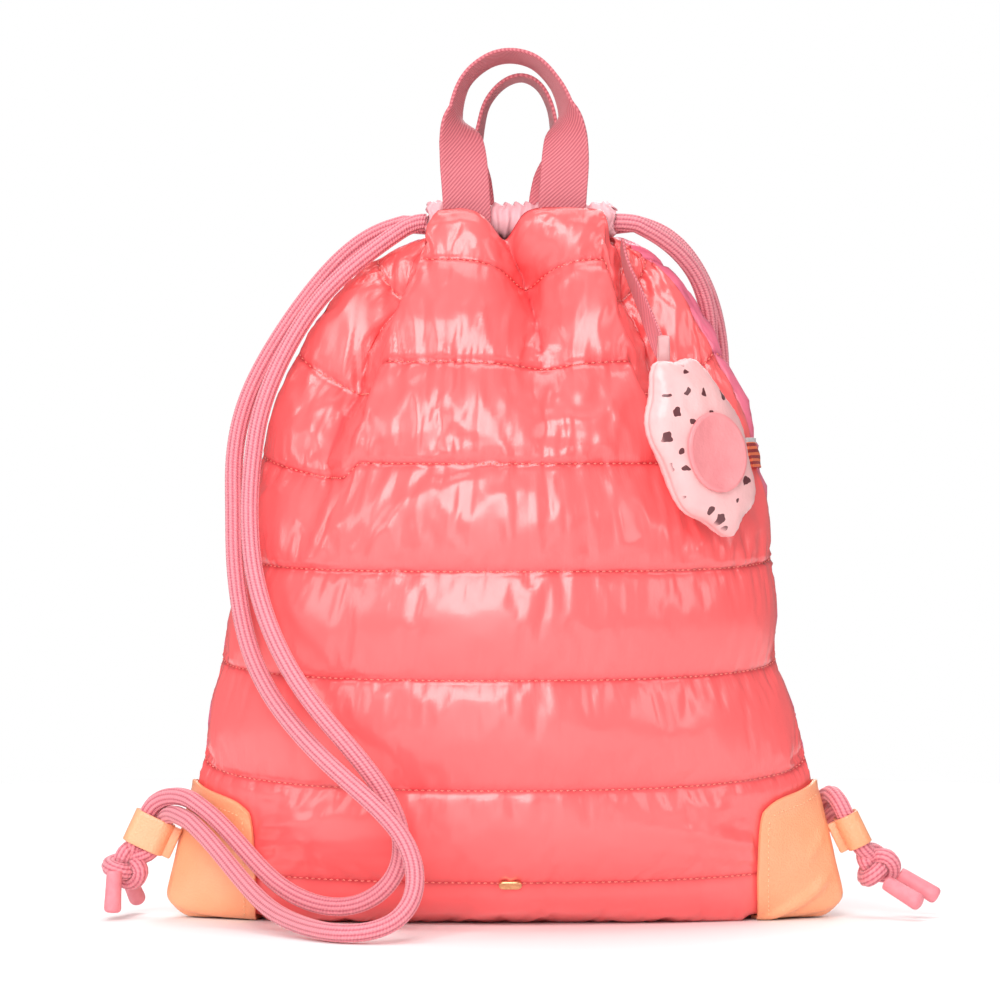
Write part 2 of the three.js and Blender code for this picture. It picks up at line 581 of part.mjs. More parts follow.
export default backpack;
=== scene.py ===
# %% [markdown]
# # A quilted puffer drawstring backpack
# The bag is two padded nylon panels sewn together at the sides and under the base, drawn shut at the top by
# two cords, with webbing handles, leather corners and a small padded charm. This lesson builds its looks
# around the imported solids, in metres and in the same frame: +Z is up and the front faces -Y.

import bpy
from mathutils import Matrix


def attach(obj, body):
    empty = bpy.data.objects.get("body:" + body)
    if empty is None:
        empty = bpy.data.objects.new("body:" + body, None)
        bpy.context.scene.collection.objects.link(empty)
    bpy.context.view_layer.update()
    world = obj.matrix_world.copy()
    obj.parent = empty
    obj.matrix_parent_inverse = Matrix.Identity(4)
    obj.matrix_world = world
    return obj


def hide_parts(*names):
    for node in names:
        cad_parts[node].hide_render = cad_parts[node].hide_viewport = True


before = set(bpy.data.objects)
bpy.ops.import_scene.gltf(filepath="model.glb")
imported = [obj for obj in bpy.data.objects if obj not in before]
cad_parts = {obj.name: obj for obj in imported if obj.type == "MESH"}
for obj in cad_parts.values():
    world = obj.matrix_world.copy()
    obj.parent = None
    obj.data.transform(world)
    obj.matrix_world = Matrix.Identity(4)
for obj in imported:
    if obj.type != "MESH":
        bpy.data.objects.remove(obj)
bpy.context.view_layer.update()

import math

import bmesh
import bpy
import numpy as np
from mathutils import Matrix, Vector, noise
from mathutils.bvhtree import BVHTree
from mathutils.kdtree import KDTree

scene = bpy.context.scene
MM = 0.001

# %% [markdown]
# ## Camera, floor and light
# The photograph looks level at the middle of the bag from far away, so a long lens keeps the sides upright.
# A white floor and a white world make the pale studio. Three soft boxes give the nylon its broad shine: a
# shiny cloth shows its folds by what it reflects, so the lights are large and come from different sides.

# %% Camera
CAMERA_PLACE = (-0.0026, -2.2, 0.221)
FRAME_WIDTH = 0.5294
SENSOR = 36

camera_data = bpy.data.cameras.new("camera")
camera_data.sensor_width = SENSOR
camera_data.lens = SENSOR * -CAMERA_PLACE[1] / FRAME_WIDTH
camera = bpy.data.objects.new("camera", camera_data)
camera.location = CAMERA_PLACE
camera.rotation_euler = (math.pi / 2, 0, 0)
scene.collection.objects.link(camera)
scene.camera = camera
print("lens:", round(camera_data.lens, 1), "mm")


# %% Materials start from one shader
def new_material(name, colour, roughness, **sockets):
    """A material whose Principled shader has these values, and its node tree."""
    material = bpy.data.materials.new(name)
    material.use_nodes = True
    shader = material.node_tree.nodes["Principled BSDF"]
    shader.inputs["Base Color"].default_value = (*colour, 1)
    shader.inputs["Roughness"].default_value = roughness
    for socket, value in sockets.items():
        shader.inputs[socket.replace("_", " ")].default_value = value
    return material


def srgb(red, green, blue):
    """Screen colour from 0 to 255 as the linear values that a shader takes."""
    parts = [value / 255 for value in (red, green, blue)]
    return tuple(p / 12.92 if p <= 0.04045 else ((p + 0.055) / 1.055) ** 2.4 for p in parts)


# %% Floor and light
FLOOR_RADIUS = 1.1
LIGHTS = {  # place, size in metres, watts
    "top": ((0, 0.25, 2.3), 1.8, 33),
    "front": ((-0.4, -2.0, 1.2), 1.3, 41),
    "low": ((-0.2, -2.6, 0.35), 1.2, 8),
    "left": ((-2.0, -1.2, 0.9), 1.0, 12),
    "right": ((2.0, -1.3, 0.9), 1.0, 10),
    "behind": ((0.4, 1.8, 1.4), 1.2, 18),
}
WORLD_GLOW = 0.23
AIM = Vector((0, 0, 0.2))

floor_bm = bmesh.new()
bmesh.ops.create_circle(floor_bm, cap_ends=True, segments=96, radius=FLOOR_RADIUS)
floor_mesh = bpy.data.meshes.new("floor")
floor_bm.to_mesh(floor_mesh)
floor_bm.free()
floor_mesh.materials.append(new_material("white_floor", (0.92, 0.92, 0.92), 0.9))
floor = bpy.data.objects.new("floor", floor_mesh)
scene.collection.objects.link(floor)

for light_name, (place, size, watts) in LIGHTS.items():
    light_data = bpy.data.lights.new(light_name, "AREA")
    light_data.size = size
    light_data.energy = watts
    light = bpy.data.objects.new(light_name, light_data)
    light.location = place
    light.rotation_euler = (AIM - Vector(place)).to_track_quat("-Z", "Y").to_euler()
    scene.collection.objects.link(light)

world = bpy.data.worlds.new("studio")
scene.world = world
world.use_nodes = True
glow = world.node_tree.nodes["Background"]
glow.inputs["Color"].default_value = (1, 1, 1, 1)
glow.inputs["Strength"].default_value = WORLD_GLOW
backdrop = world.node_tree.nodes.new("ShaderNodeBackground")
seen = world.node_tree.nodes.new("ShaderNodeLightPath")
either = world.node_tree.nodes.new("ShaderNodeMixShader")
world.node_tree.links.new(seen.outputs["Is Camera Ray"], either.inputs["Fac"])
world.node_tree.links.new(glow.outputs[0], either.inputs[1])
world.node_tree.links.new(backdrop.outputs[0], either.inputs[2])
world.node_tree.links.new(either.outputs[0], world.node_tree.nodes["World Output"].inputs["Surface"])
backdrop.inputs["Color"].default_value = (1, 1, 1, 1)
scene.view_settings.view_transform = "Standard"
print("lights:", len(LIGHTS))

# %% [markdown]
# ## The cut of the panels
# Every row of these tables is one sewn line across a panel, from the seam under the base up to the mouth.
# The first table says where the line runs, and the second how the drawstring gathers it into folds. A smooth
# curve through the rows gives every point between them, so a panel can be cut as fine as the cloth needs.

# %% Tables of the sewn lines, in millimetres
OUTLINE = np.array([  # rise, edge, half, lean, front, back, point, floor
    [0, 1, 163, 0, -12, 12, 2.5, 1],
    [0, 10, 176, 0, 24, 44, 1.5, 0.8],
    [24, 36, 171, 0, 61, 64, 1.6, 0.15],
    [72.5, 86, 158.5, 0, 79, 77, 1.5, 0],
    [129, 138, 146, -3, 86, 83, 1.3, 0],
    [184.5, 191, 138, 2, 87, 84, 1.15, 0],
    [239.5, 245, 129.5, 2, 81, 78, 1.05, 0],
    [292, 299, 109.5, 1, 67, 64, 1, 0],
    [346, 348, 71, 4, 45, 45, 1, 0],
    [374, 357, 40, 8, 34, 36, 1, 0],
])
GATHERS = np.array([  # spread, recess, drop, valley, notch, valley_at, seam_forward, overhang
    [0, 0, 0, 0, 0, 0.1, 0, 0],
    [0, 0, 0, 0, 0, 0.1, 0, 0],
    [0, 0, 0, 0, 0, 0.1, 0, 0],
    [0, 0, 0, 0, 0, 0.1, 0, 0],
    [0, 0, 0, 0, 0, 0.1, 0, 0],
    [0, 0, 0, 0, 0, 0.1, 3, 0],
    [-7, 12, 8, 0, 0, 0.1, 8, 4],
    [-8, 24, 17, 10, 4, 0.12, 13, 8],
    [2, 24, 21, 25, 15, 0.06, 14, 8],
    [18, 9, 16, 8, 17, -0.09, 12, 2],
])
MOUTH_ROW = len(OUTLINE) - 1
LOWEST_QUILT_ROW = 2
LEFT_SEAM_SHARE = 0.4
PLEAT_DROP, PLEAT_START, PLEAT_END, PLEAT_FADE = 0.44, 0.51, 0.565, 1.3
VALLEY_WIDTH, VALLEY_NARROW, VALLEY_CREASE, VALLEY_FALL = 0.115, 0.035, 0.15, 0.7
SPREAD_POWER = 1.5
FOLD_LIMIT = 0.7
OVERHANG_START, OVERHANG_SWELL, OVERHANG_TUCK = 0.6, 1.5, 0.15
SEAM_SWEEP, BASE_FLAT = 3, 0.36
PANEL_GAP = 0.3
LEATHER_GAP, LEATHER_THICK = 1.0, 1.8
PATCH_ROOM = LEATHER_GAP + LEATHER_THICK + 0.4


# %% Points of a panel
def smoothstep(low, high, value):
    share = np.clip((value - low) / (high - low), 0, 1)
    return share * share * (3 - 2 * share)


def columns_at(table, row):
    """All columns of a table at these rows, on curves that never overshoot."""
    rise = np.diff(table, axis=0)
    slope = np.zeros_like(table)
    slope[0], slope[-1] = rise[0], rise[-1]
    both = rise[:-1] * rise[1:]
    total = np.where(both > 0, rise[:-1] + rise[1:], 1)
    slope[1:-1] = np.where(both > 0, 2 * both / total, 0)
    low = np.clip(np.floor(row).astype(int), 0, len(table) - 2)
    u = (row - low)[:, None]
    start, end, begin, stop = table[low], table[low + 1], slope[low], slope[low + 1]
    jump = 3 * (end - start) - 2 * begin - stop
    curl = 2 * (start - end) + begin + stop
    return (start + u * (begin + u * (jump + u * curl))).T


def panel_points(side, at, row, gathered=1.0):
    """Points of the front panel (side -1) or back panel (side 1), before the filling lifts it."""
    rise, edge, half, lean, front, back, point, _ = columns_at(OUTLINE, row)
    spread, recess, drop, valley_depth, notch, valley_at, forward, overhang = columns_at(GATHERS, row)
    reach = np.abs(at)
    angle = at * math.pi / 2
    crown = np.maximum(np.cos(angle), 0) ** point
    forward = forward * np.where(at < 0, LEFT_SEAM_SHARE, 1)
    fade = np.maximum(1 - np.maximum(reach - PLEAT_END, 0) / (1 - PLEAT_END), 0) ** PLEAT_FADE
    pleat = gathered * smoothstep(PLEAT_START, PLEAT_END, reach) * fade
    pleat_drop = gathered * smoothstep(PLEAT_DROP, PLEAT_START, reach) * fade
    valley_wide = VALLEY_WIDTH - VALLEY_NARROW * smoothstep(MOUTH_ROW - 1, MOUTH_ROW, row)
    from_valley = (((at - valley_at) / valley_wide) ** 2 + VALLEY_CREASE ** 2) ** VALLEY_FALL
    valley = gathered * np.exp(VALLEY_CREASE ** (2 * VALLEY_FALL) - from_valley)
    depth = front if side < 0 else back
    fall = np.minimum(recess * pleat + valley_depth * valley, FOLD_LIMIT * np.maximum(depth, 0) * crown)
    patch_lift = smoothstep(0.49, 0.53, reach) * (1 - smoothstep(0.9, 1.9, row))
    flat = BASE_FLAT * (1 - smoothstep(1, LOWEST_QUILT_ROW, row))
    sweep = np.clip((reach - flat) / (1 - flat), 0, 1) ** SEAM_SWEEP
    swell = np.sin(math.pi * np.clip((at - OVERHANG_START) / (1 - OVERHANG_START), 0, 1))
    tuck = OVERHANG_TUCK * smoothstep(OVERHANG_START, 1, at) - (OVERHANG_SWELL * swell if side > 0 else 0)
    wide = gathered * spread * np.sin(math.pi * np.minimum(reach, 1)) ** SPREAD_POWER
    x = lean + half * np.sin(angle) + np.sign(at) * wide - overhang * tuck
    y = side * (depth * crown - fall) - forward * (1 - crown) + side * PANEL_GAP / 2
    z = rise + (edge - rise) * sweep - drop * pleat_drop - notch * valley + PATCH_ROOM * patch_lift
    return np.stack([x, y, z], axis=1)


def panel_normals(side, at, row):
    """Outward directions of the panel without its gathers."""
    step = 0.01
    at = np.clip(at, -0.97, 0.97)
    row = np.clip(row, step, MOUTH_ROW - step)
    across = panel_points(side, at + step, row, 0) - panel_points(side, at - step, row, 0)
    up = panel_points(side, at, row + step, 0) - panel_points(side, at, row - step, 0)
    normal = np.cross(across, up)
    normal /= np.linalg.norm(normal, axis=1)[:, None]
    outward = panel_points(side, at, row, 0) - np.array([0, 0, 150])
    return np.where((np.sum(normal * outward, axis=1) < 0)[:, None], -normal, normal)


def puff_heights(height, at, row):
    """How far the filling lifts the cloth between its sewn lines."""
    channel = np.where(row < LOWEST_QUILT_ROW, np.clip(row - 1, 0, 1), row % 1)
    crown = (4 * channel * (1 - channel)) ** 0.75
    side = np.sqrt(np.maximum(1 - np.abs(at) ** 10, 0))
    under_patch = smoothstep(0.4, 0.6, np.abs(at)) * (1 - smoothstep(2.6, 3, row))
    return height * crown * side * (1 - under_patch) * np.where(row < LOWEST_QUILT_ROW, 0.5, 1)


def panel_surface(side, at, row, height, lift=0.0):
    """Points on the outside of a puffed panel, raised by lift, in metres."""
    raised = puff_heights(height, at, row) + lift
    return (panel_points(side, at, row) + panel_normals(side, at, row) * raised[:, None]) * MM


print("mouth at", panel_points(-1, np.zeros(1), np.array([9.0]))[0].round(1), "mm")


# %% [markdown]
# ## One way to make cloth
# Panels, webbing, sleeves and cords all start as what they are in a workshop: a flat piece. A grid has its UV
# map from the start, so weave and stitches can follow the cloth, and each corner of the grid is then moved to
# its place on the bag. A tube is a strip whose long edges are welded.

# %% Flat pieces and finished pieces
def flat_grid(columns, rows):
    """A flat grid with a UV map, and each vertex's place across and along it from 0 to 1."""
    bm = bmesh.new()
    bm.loops.layers.uv.new("flat")
    bmesh.ops.create_grid(bm, x_segments=columns, y_segments=rows, size=0.5, calc_uvs=True)
    bm.verts.ensure_lookup_table()
    places = np.array([vertex.co[:2] for vertex in bm.verts]) + 0.5
    return bm, np.round(places[:, 0], 6), np.round(places[:, 1], 6)


def move_to(bm, points):
    for vertex, point in zip(bm.verts, points):
        vertex.co = point


def face_outwards(bm, centre):
    """Turns an open sheet so that most of it faces away from a point."""
    bm.normal_update()
    away = sum(face.normal.dot(face.calc_center_median() - centre) * face.calc_area() for face in bm.faces)
    if away < 0:
        bmesh.ops.reverse_faces(bm, faces=bm.faces)


def finish_piece(name, bm, material, nodes=()):
    """Turns a bmesh into a smooth piece that rides on the bag and stands for these nodes."""
    mesh = bpy.data.meshes.new(name)
    bm.to_mesh(mesh)
    bm.free()
    mesh.shade_smooth()
    mesh.materials.append(material)
    piece = bpy.data.objects.new(name, mesh)
    scene.collection.objects.link(piece)
    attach(piece, "root")
    if nodes:
        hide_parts(*nodes)
    print(name, len(mesh.vertices), "points")
    return piece


def mesh_points(piece):
    flat = np.empty(len(piece.data.vertices) * 3)
    piece.data.vertices.foreach_get("co", flat)
    return flat.reshape(-1, 3)


def thicken(piece, thickness, offset=-1.0):
    """Gives a sheet its thickness, inwards unless the offset says otherwise."""
    solid = piece.modifiers.new("thickness", "SOLIDIFY")
    solid.thickness = thickness
    solid.offset = offset
    solid.use_even_offset = False


# %% Tubes
def resample(points, step):
    """Points at even steps along a smooth curve through these points."""
    points = np.array(points, dtype=float)
    padded = np.vstack([2 * points[0] - points[1], points, 2 * points[-1] - points[-2]])
    dense = []
    for k in range(1, len(padded) - 2):
        before, start, end, after = padded[k - 1:k + 3]
        for u in np.linspace(0, 1, 12, endpoint=False):
            pull = (end - before) * u + (2 * before - 5 * start + 4 * end - after) * u ** 2
            pull = pull + (3 * start - before - 3 * end + after) * u ** 3
            dense.append(start + pull / 2)
    dense = np.array(dense + [points[-1]])
    run = np.concatenate([[0], np.cumsum(np.linalg.norm(np.diff(dense, axis=0), axis=1))])
    count = max(int(round(run[-1] / step)), 4)
    places = np.linspace(0, run[-1], count + 1)
    return np.stack([np.interp(places, run, dense[:, k]) for k in range(3)], axis=1)


def path_length(path):
    return float(np.sum(np.linalg.norm(np.diff(path, axis=0), axis=1)))


def path_frames(path, first_up=(0, 0, 1)):
    """Tangents and two cross directions that don't twist along a path."""
    tangents = np.gradient(path, axis=0)
    tangents /= np.linalg.norm(tangents, axis=1)[:, None]
    side = np.cross(tangents[0], first_up)
    if np.linalg.norm(side) < 0.1:
        side = np.cross(tangents[0], (1, 0, 0))
    sides = []
    for tangent in tangents:
        side = side - tangent * np.dot(side, tangent)
        side = side / np.linalg.norm(side)
        sides.append(side)
    sides = np.array(sides)
    return tangents, sides, np.cross(tangents, sides)


def tube(path, radius, around, ribs=0, rib_depth=0.0, taper=None):
    """A round tube along a path, with lengthwise ribs. Its ends are closed."""
    bm, u, v = flat_grid(around, len(path) - 1)
    place = np.clip(np.round(v * (len(path) - 1)).astype(int), 0, len(path) - 1)
    _, sides, ups = path_frames(path)
    angle = 2 * math.pi * u
    swell = radius * (1 + rib_depth * (np.abs(np.cos(ribs * angle / 2)) - 0.6))
    if taper is not None:
        swell = swell * taper[place]
    ring = sides[place] * np.cos(angle)[:, None] + ups[place] * np.sin(angle)[:, None]
    move_to(bm, path[place] + ring * swell[:, None])
    bmesh.ops.remove_doubles(bm, verts=bm.verts, dist=1e-6)
    ends = [edge for edge in bm.edges if edge.is_boundary]
    bmesh.ops.holes_fill(bm, edges=ends, sides=0)
    bmesh.ops.recalc_face_normals(bm, faces=bm.faces)
    return bm


# %% [markdown]
# ## Puffer nylon
# The shell is a thin, shiny nylon over loose filling. Its colour hardly changes, so the look comes from the
# gloss: a satin base, a thin clear coat for the sharp glints, and fine wrinkles that run away from the sewn
# lines. The wrinkles read the panel's own UV map, because they follow the cut and not the room, and an
# attribute that was stored on the cloth makes them strongest beside the stitches. Painted shade darkens the sewn lines
# and the fold creases.

# %% Node helpers and the nylon
def add_node(material, kind, inputs=(), **settings):
    """A new node with these settings, whose inputs take values or other nodes' outputs."""
    made = material.node_tree.nodes.new("ShaderNode" + kind)
    for key, value in settings.items():
        setattr(made, key, value)
    for key, value in dict(inputs).items():
        if isinstance(value, bpy.types.NodeSocket):
            material.node_tree.links.new(value, made.inputs[key])
        else:
            made.inputs[key].default_value = value
    return made


def to_shader(material, socket, output):
    shader = material.node_tree.nodes["Principled BSDF"]
    material.node_tree.links.new(output, shader.inputs[socket])


def two_tone(material, factor, dark, light):
    """Colours a surface from dark to light by a factor."""
    mix = add_node(material, "Mix", data_type="RGBA")
    links = material.node_tree.links
    links.new(factor, mix.inputs["Factor"])
    mix.inputs[6].default_value = (*dark, 1)
    mix.inputs[7].default_value = (*light, 1)
    to_shader(material, "Base Color", mix.outputs[2])
    return mix


def bumped(material, height, distance, strength=1.0):
    bump = add_node(material, "Bump", {"Strength": strength, "Distance": distance, "Height": height})
    to_shader(material, "Normal", bump.outputs["Normal"])
    return bump


def shiny_nylon(name, dark, light, shadow):
    material = new_material(name, light, 0.36, Coat_Weight=0.65, Coat_Roughness=0.21)
    cut = add_node(material, "TexCoord").outputs["UV"]
    room = add_node(material, "TexCoord").outputs["Object"]
    stretched = add_node(material, "Mapping", {"Vector": cut, "Scale": (64, 15, 1)})
    pucker = add_node(material, "TexNoise", {"Vector": stretched.outputs[0], "Scale": 1.0, "Detail": 3.0})
    sewn = add_node(material, "Attribute", attribute_name="sewn")
    fold = add_node(material, "Math", {0: pucker.outputs["Fac"], 1: sewn.outputs["Fac"]}, operation="MULTIPLY")
    crinkle = add_node(material, "TexNoise", {"Vector": room, "Scale": 150.0, "Detail": 4.0})
    faint = add_node(material, "Math", {0: crinkle.outputs["Fac"], 1: 0.1}, operation="MULTIPLY")
    height = add_node(material, "Math", {0: fold.outputs[0], 1: faint.outputs[0]}, operation="ADD")
    bumped(material, height.outputs[0], 0.0017, 0.6)
    patches = add_node(material, "TexNoise", {"Vector": room, "Scale": 9.0, "Detail": 2.0})
    cloth = two_tone(material, patches.outputs["Fac"], dark, light)
    # Painted shade: the colour is pulled towards the shadow colour along the sewn lines and along the creases stored on
    # the cloth.
    line = add_node(material, "Math", {0: sewn.outputs["Fac"], 1: 6.0}, operation="POWER")
    crease = add_node(material, "Attribute", attribute_name="crease")
    deep = add_node(material, "Math", {0: line.outputs[0], 1: crease.outputs["Fac"]}, operation="MAXIMUM")
    painted_groove_shade = add_node(material, "Mix", {"Factor": deep.outputs[0]}, data_type="RGBA")
    material.node_tree.links.new(cloth.outputs[2], painted_groove_shade.inputs[6])
    painted_groove_shade.inputs[7].default_value = (*shadow, 1)
    to_shader(material, "Base Color", painted_groove_shade.outputs[2])
    return material


coral_nylon = shiny_nylon("coral_puffer", srgb(244, 88, 90), srgb(253, 107, 107), srgb(198, 40, 48))
pink_nylon = shiny_nylon("pink_puffer", srgb(230, 98, 130), srgb(242, 124, 148), srgb(190, 60, 96))
print("nylon:", coral_nylon.name, pink_nylon.name)

# %% [markdown]
# ## Panels
# Each panel is cut flat, laid on the sewn lines and then blown up by a cloth simulation: the sewn lines, the
# side seams and the base are pinned, the cloth between them is a little longer than the seams, and a pressure
# stands for the filling. The spare length is what makes the puckers, as a thread that pulls does on the real
# bag. A cap keeps every point near its sewn line, so the bag stays the size of its solid.

# %% Simulation of the filling
FRONT_PUFF, BACK_PUFF = 7, 8
PATCH_INNER, PATCH_FOOT_ROW, PATCH_TOP_ROW, PATCH_SLOPE = 0.53, 0.65, 2.8, 0.02
START_SHARE = 0.6
SWELL_CAP = 0.008
FLOOR_GAP = 0.2
LOOSE_ROWS, CALM_ROWS = (4.6, 5.5), (7.35, 7.7)
SPARE_LOW, SPARE_HIGH = 0.018, 0.04
PUCKER_REACH, PUCKER_WIDTH, PUCKER_HEIGHT, PUCKER_LOW = 0.18, 5.0, 0.0024, 0.55
DENT_WIDTH, DENT_HEIGHT, CHANNEL_HEIGHT = 24.0, 0.0016, 55
DRAG_ROWS, DRAG_HEIGHT, DRAG_REACH = 7.5, 0.0045, 0.11
FOLD_WIDTH, FOLD_TURN, FOLD_THIN, FOLD_HEIGHT = 13.0, 1.2, 4.5, 0.0012


def inflate(piece, pinned, loose, pressure, frames):
    """Blows up the cloth between its sewn lines, and keeps the result as the piece's mesh."""
    group = piece.vertex_groups.new(name="sewn")
    group.add([int(k) for k in np.flatnonzero(pinned)], 1.0, "REPLACE")
    spare = piece.vertex_groups.new(name="spare")
    for k, share in enumerate(loose):
        spare.add([k], float(share), "REPLACE")
    start = np.empty(len(piece.data.vertices) * 3)
    piece.data.vertices.foreach_get("co", start)
    cloth = piece.modifiers.new("filling", "CLOTH")
    cloth.settings.quality = 5
    cloth.settings.mass = 0.1
    cloth.settings.air_damping = 3
    cloth.settings.tension_stiffness = cloth.settings.compression_stiffness = 25
    cloth.settings.shear_stiffness = 10
    cloth.settings.bending_stiffness = 0.15
    cloth.settings.vertex_group_mass = group.name
    cloth.settings.vertex_group_shrink = spare.name
    cloth.settings.shrink_min, cloth.settings.shrink_max = -SPARE_LOW, -SPARE_HIGH
    cloth.settings.use_pressure = True
    cloth.settings.uniform_pressure_force = pressure
    cloth.settings.effector_weights.gravity = 0
    cloth.collision_settings.use_collision = False
    cloth.collision_settings.use_self_collision = False
    cloth.point_cache.frame_end = frames
    for k in range(1, frames + 1):
        scene.frame_set(k)
    swollen = piece.evaluated_get(bpy.context.evaluated_depsgraph_get()).to_mesh()
    points = np.empty_like(start)
    swollen.vertices.foreach_get("co", points)
    piece.modifiers.remove(cloth)
    piece.vertex_groups.clear()
    scene.frame_set(1)
    moved = (points - start).reshape(-1, 3)
    far = np.linalg.norm(moved, axis=1)
    moved *= np.minimum(1, SWELL_CAP / np.maximum(far, 1e-9))[:, None]
    piece.data.vertices.foreach_set("co", (start.reshape(-1, 3) + moved).ravel())
    piece.data.update()
    print(piece.name, "swelled by", round(float(far.mean()) * 1000, 2), "to", round(float(far.max()) * 1000, 2), "mm")


# %% Cut, lay and fill a panel
def sewn_rows(base_steps, channel_steps):
    """Row of the table for each line of the grid, with a grid line on every sewn line."""
    base = np.linspace(0, LOWEST_QUILT_ROW, base_steps, endpoint=False)
    channels = MOUTH_ROW - LOWEST_QUILT_ROW
    return np.concatenate([base, np.linspace(LOWEST_QUILT_ROW, MOUTH_ROW, channels * channel_steps + 1)])


def pucker(piece, side, at, row, from_line):
    """Small folds beside the stitches, and sharper dents where the cloth is loose."""
    half = columns_at(OUTLINE, row)[2]
    from_seam = 1 - np.abs(at)
    loose = smoothstep(LOOSE_ROWS[0], LOOSE_ROWS[1], row)
    near = np.exp(-from_line / PUCKER_REACH) * (1 - np.exp(-from_line / 0.02)) * smoothstep(0, 0.06, from_seam)
    near *= (row > LOWEST_QUILT_ROW - 0.3) * (PUCKER_LOW + (1 - PUCKER_LOW) * loose)
    calm = 1 - 0.65 * smoothstep(CALM_ROWS[0], CALM_ROWS[1], row)
    dented = calm * loose * (1 - np.exp(-from_line / 0.08)) * smoothstep(0, 0.1, from_seam)
    beside_patch = np.exp(-np.maximum(PATCH_INNER - np.abs(at), 0) / DRAG_REACH) * (np.abs(at) < PATCH_INNER + 0.03)
    dragged = beside_patch * smoothstep(2.05, 2.25, row) * (1 - smoothstep(2.75, 2.95, row))
    folded = calm * smoothstep(4.9, 5.3, row) * (1 - np.exp(-from_line / 0.05)) * smoothstep(0.2, 0.45, from_seam)
    folded *= 1 - 0.55 * smoothstep(0.35, 0.85, row % 1)
    arc = at * half * 1.4
    lift = np.empty(len(at))
    for k in range(len(at)):
        fold = noise.noise((arc[k] / PUCKER_WIDTH, round(row[k]) * 3.7, row[k] * 0.8 + side))
        place = Vector((arc[k] / DENT_WIDTH, row[k] * CHANNEL_HEIGHT / DENT_WIDTH, side))
        ridge = 0.5 - 2 * abs(noise.noise(place + 0.6 * noise.noise_vector(place * 0.7)))
        line = noise.noise((arc[k] / FOLD_WIDTH, row[k] * FOLD_TURN, side + 5.0))
        sharp = max(0.0, 1 - abs(line) * FOLD_THIN) ** 1.5
        drag = noise.noise((row[k] * DRAG_ROWS + abs(at[k]) * 6, at[k] * 3, side))
        lift[k] = fold * near[k] * PUCKER_HEIGHT + ridge * dented[k] * DENT_HEIGHT + drag * dragged[k] * DRAG_HEIGHT
        lift[k] += sharp * folded[k] * FOLD_HEIGHT
    normals = np.array([vertex.normal for vertex in piece.data.vertices])
    piece.data.vertices.foreach_set("co", (mesh_points(piece) + normals * lift[:, None]).ravel())
    piece.data.update()


def rest_on_floor(piece):
    """Flattens the cloth where its weight presses it on the floor."""
    points = mesh_points(piece)
    points[:, 2] = np.maximum(points[:, 2], FLOOR_GAP * MM)
    piece.data.vertices.foreach_set("co", points.ravel())
    piece.data.update()


def quilted_panel(name, side, height, columns, rows, material, pressure, frames):
    bm, u, v = flat_grid(columns, len(rows) - 1)
    at = 2 * u - 1
    row = rows[np.round(v * (len(rows) - 1)).astype(int)]
    full = START_SHARE
    points = panel_surface(side, at, row, height * full)
    move_to(bm, points)
    face_outwards(bm, Vector((0, 0, 0.15)))
    piece = finish_piece(name, bm, material, [name])
    inward = np.clip((1 - np.abs(at)) / (1 - PATCH_INNER), 0, 1)
    under_patch = (np.abs(at) > PATCH_INNER - 0.02) & (row < PATCH_TOP_ROW + 0.05 - PATCH_SLOPE * inward ** 2)
    on_line = (np.abs(row - np.round(row)) < 1e-3) & (row > LOWEST_QUILT_ROW - 0.5)
    pinned = on_line | (np.abs(at) > 0.999) | (row < 1.05) | under_patch | (row > MOUTH_ROW - 0.1)
    loose = smoothstep(LOOSE_ROWS[0], LOOSE_ROWS[1], row)
    inflate(piece, pinned, loose, pressure, frames)
    from_line = np.abs(row - np.round(row))
    pucker(piece, side, at, row, from_line)
    rest_on_floor(piece)
    # sewn shapes the puckering bump and also darkens the sewn lines with painted shade in the nylon.
    sewn = piece.data.attributes.new("sewn", "FLOAT", "POINT")
    sewn.data.foreach_set("value", np.exp(-from_line / 0.16) * (row > LOWEST_QUILT_ROW - 0.2))
    # crease places painted shade along the valley between the lobes and along the pleat edges.
    valley = np.exp(-np.abs(at - columns_at(GATHERS, row)[5]) / 0.012) * smoothstep(6.6, 7.4, row)
    pleat = 0.6 * np.exp(-np.abs(np.abs(at) - PLEAT_END) / 0.014) * smoothstep(5.8, 6.6, row)
    crease = piece.data.attributes.new("crease", "FLOAT", "POINT")
    crease.data.foreach_set("value", np.maximum(valley, pleat))
    return piece, at, row


front_rows = sewn_rows(14, 22)
front_panel, front_at, front_row = quilted_panel(
    "front_panel", -1, FRONT_PUFF, 184, front_rows, coral_nylon, 14.0, 18)
back_rows = sewn_rows(10, 14)
back_panel, back_at, back_row = quilted_panel(
    "back_panel", 1, BACK_PUFF, 104, back_rows, pink_nylon, 7.0, 16)


# %% Lines on the cloth
def surface_tree(pieces):
    """One search tree over the shown faces of several pieces."""
    corners, faces = [], []
    for piece in pieces:
        first = len(corners)
        corners.extend(vertex.co.copy() for vertex in piece.data.vertices)
        faces.extend([first + k for k in face.vertices] for face in piece.data.polygons)
    return BVHTree.FromPolygons(corners, faces)


bag_surface = surface_tree([front_panel, back_panel])
print("front panel reaches y =", round(float(mesh_points(front_panel)[:, 1].min()), 4))

# %% [markdown]
# ## Leather corners
# A leather patch folds round each bottom corner, from the front panel past the side seam to the back panel.
# It is cut as a grid that follows the panel a millimetre above it. Solidify gives the leather its thickness
# outwards and a small bevel rounds the cut edge. The stitches beside the edge are real little threads.


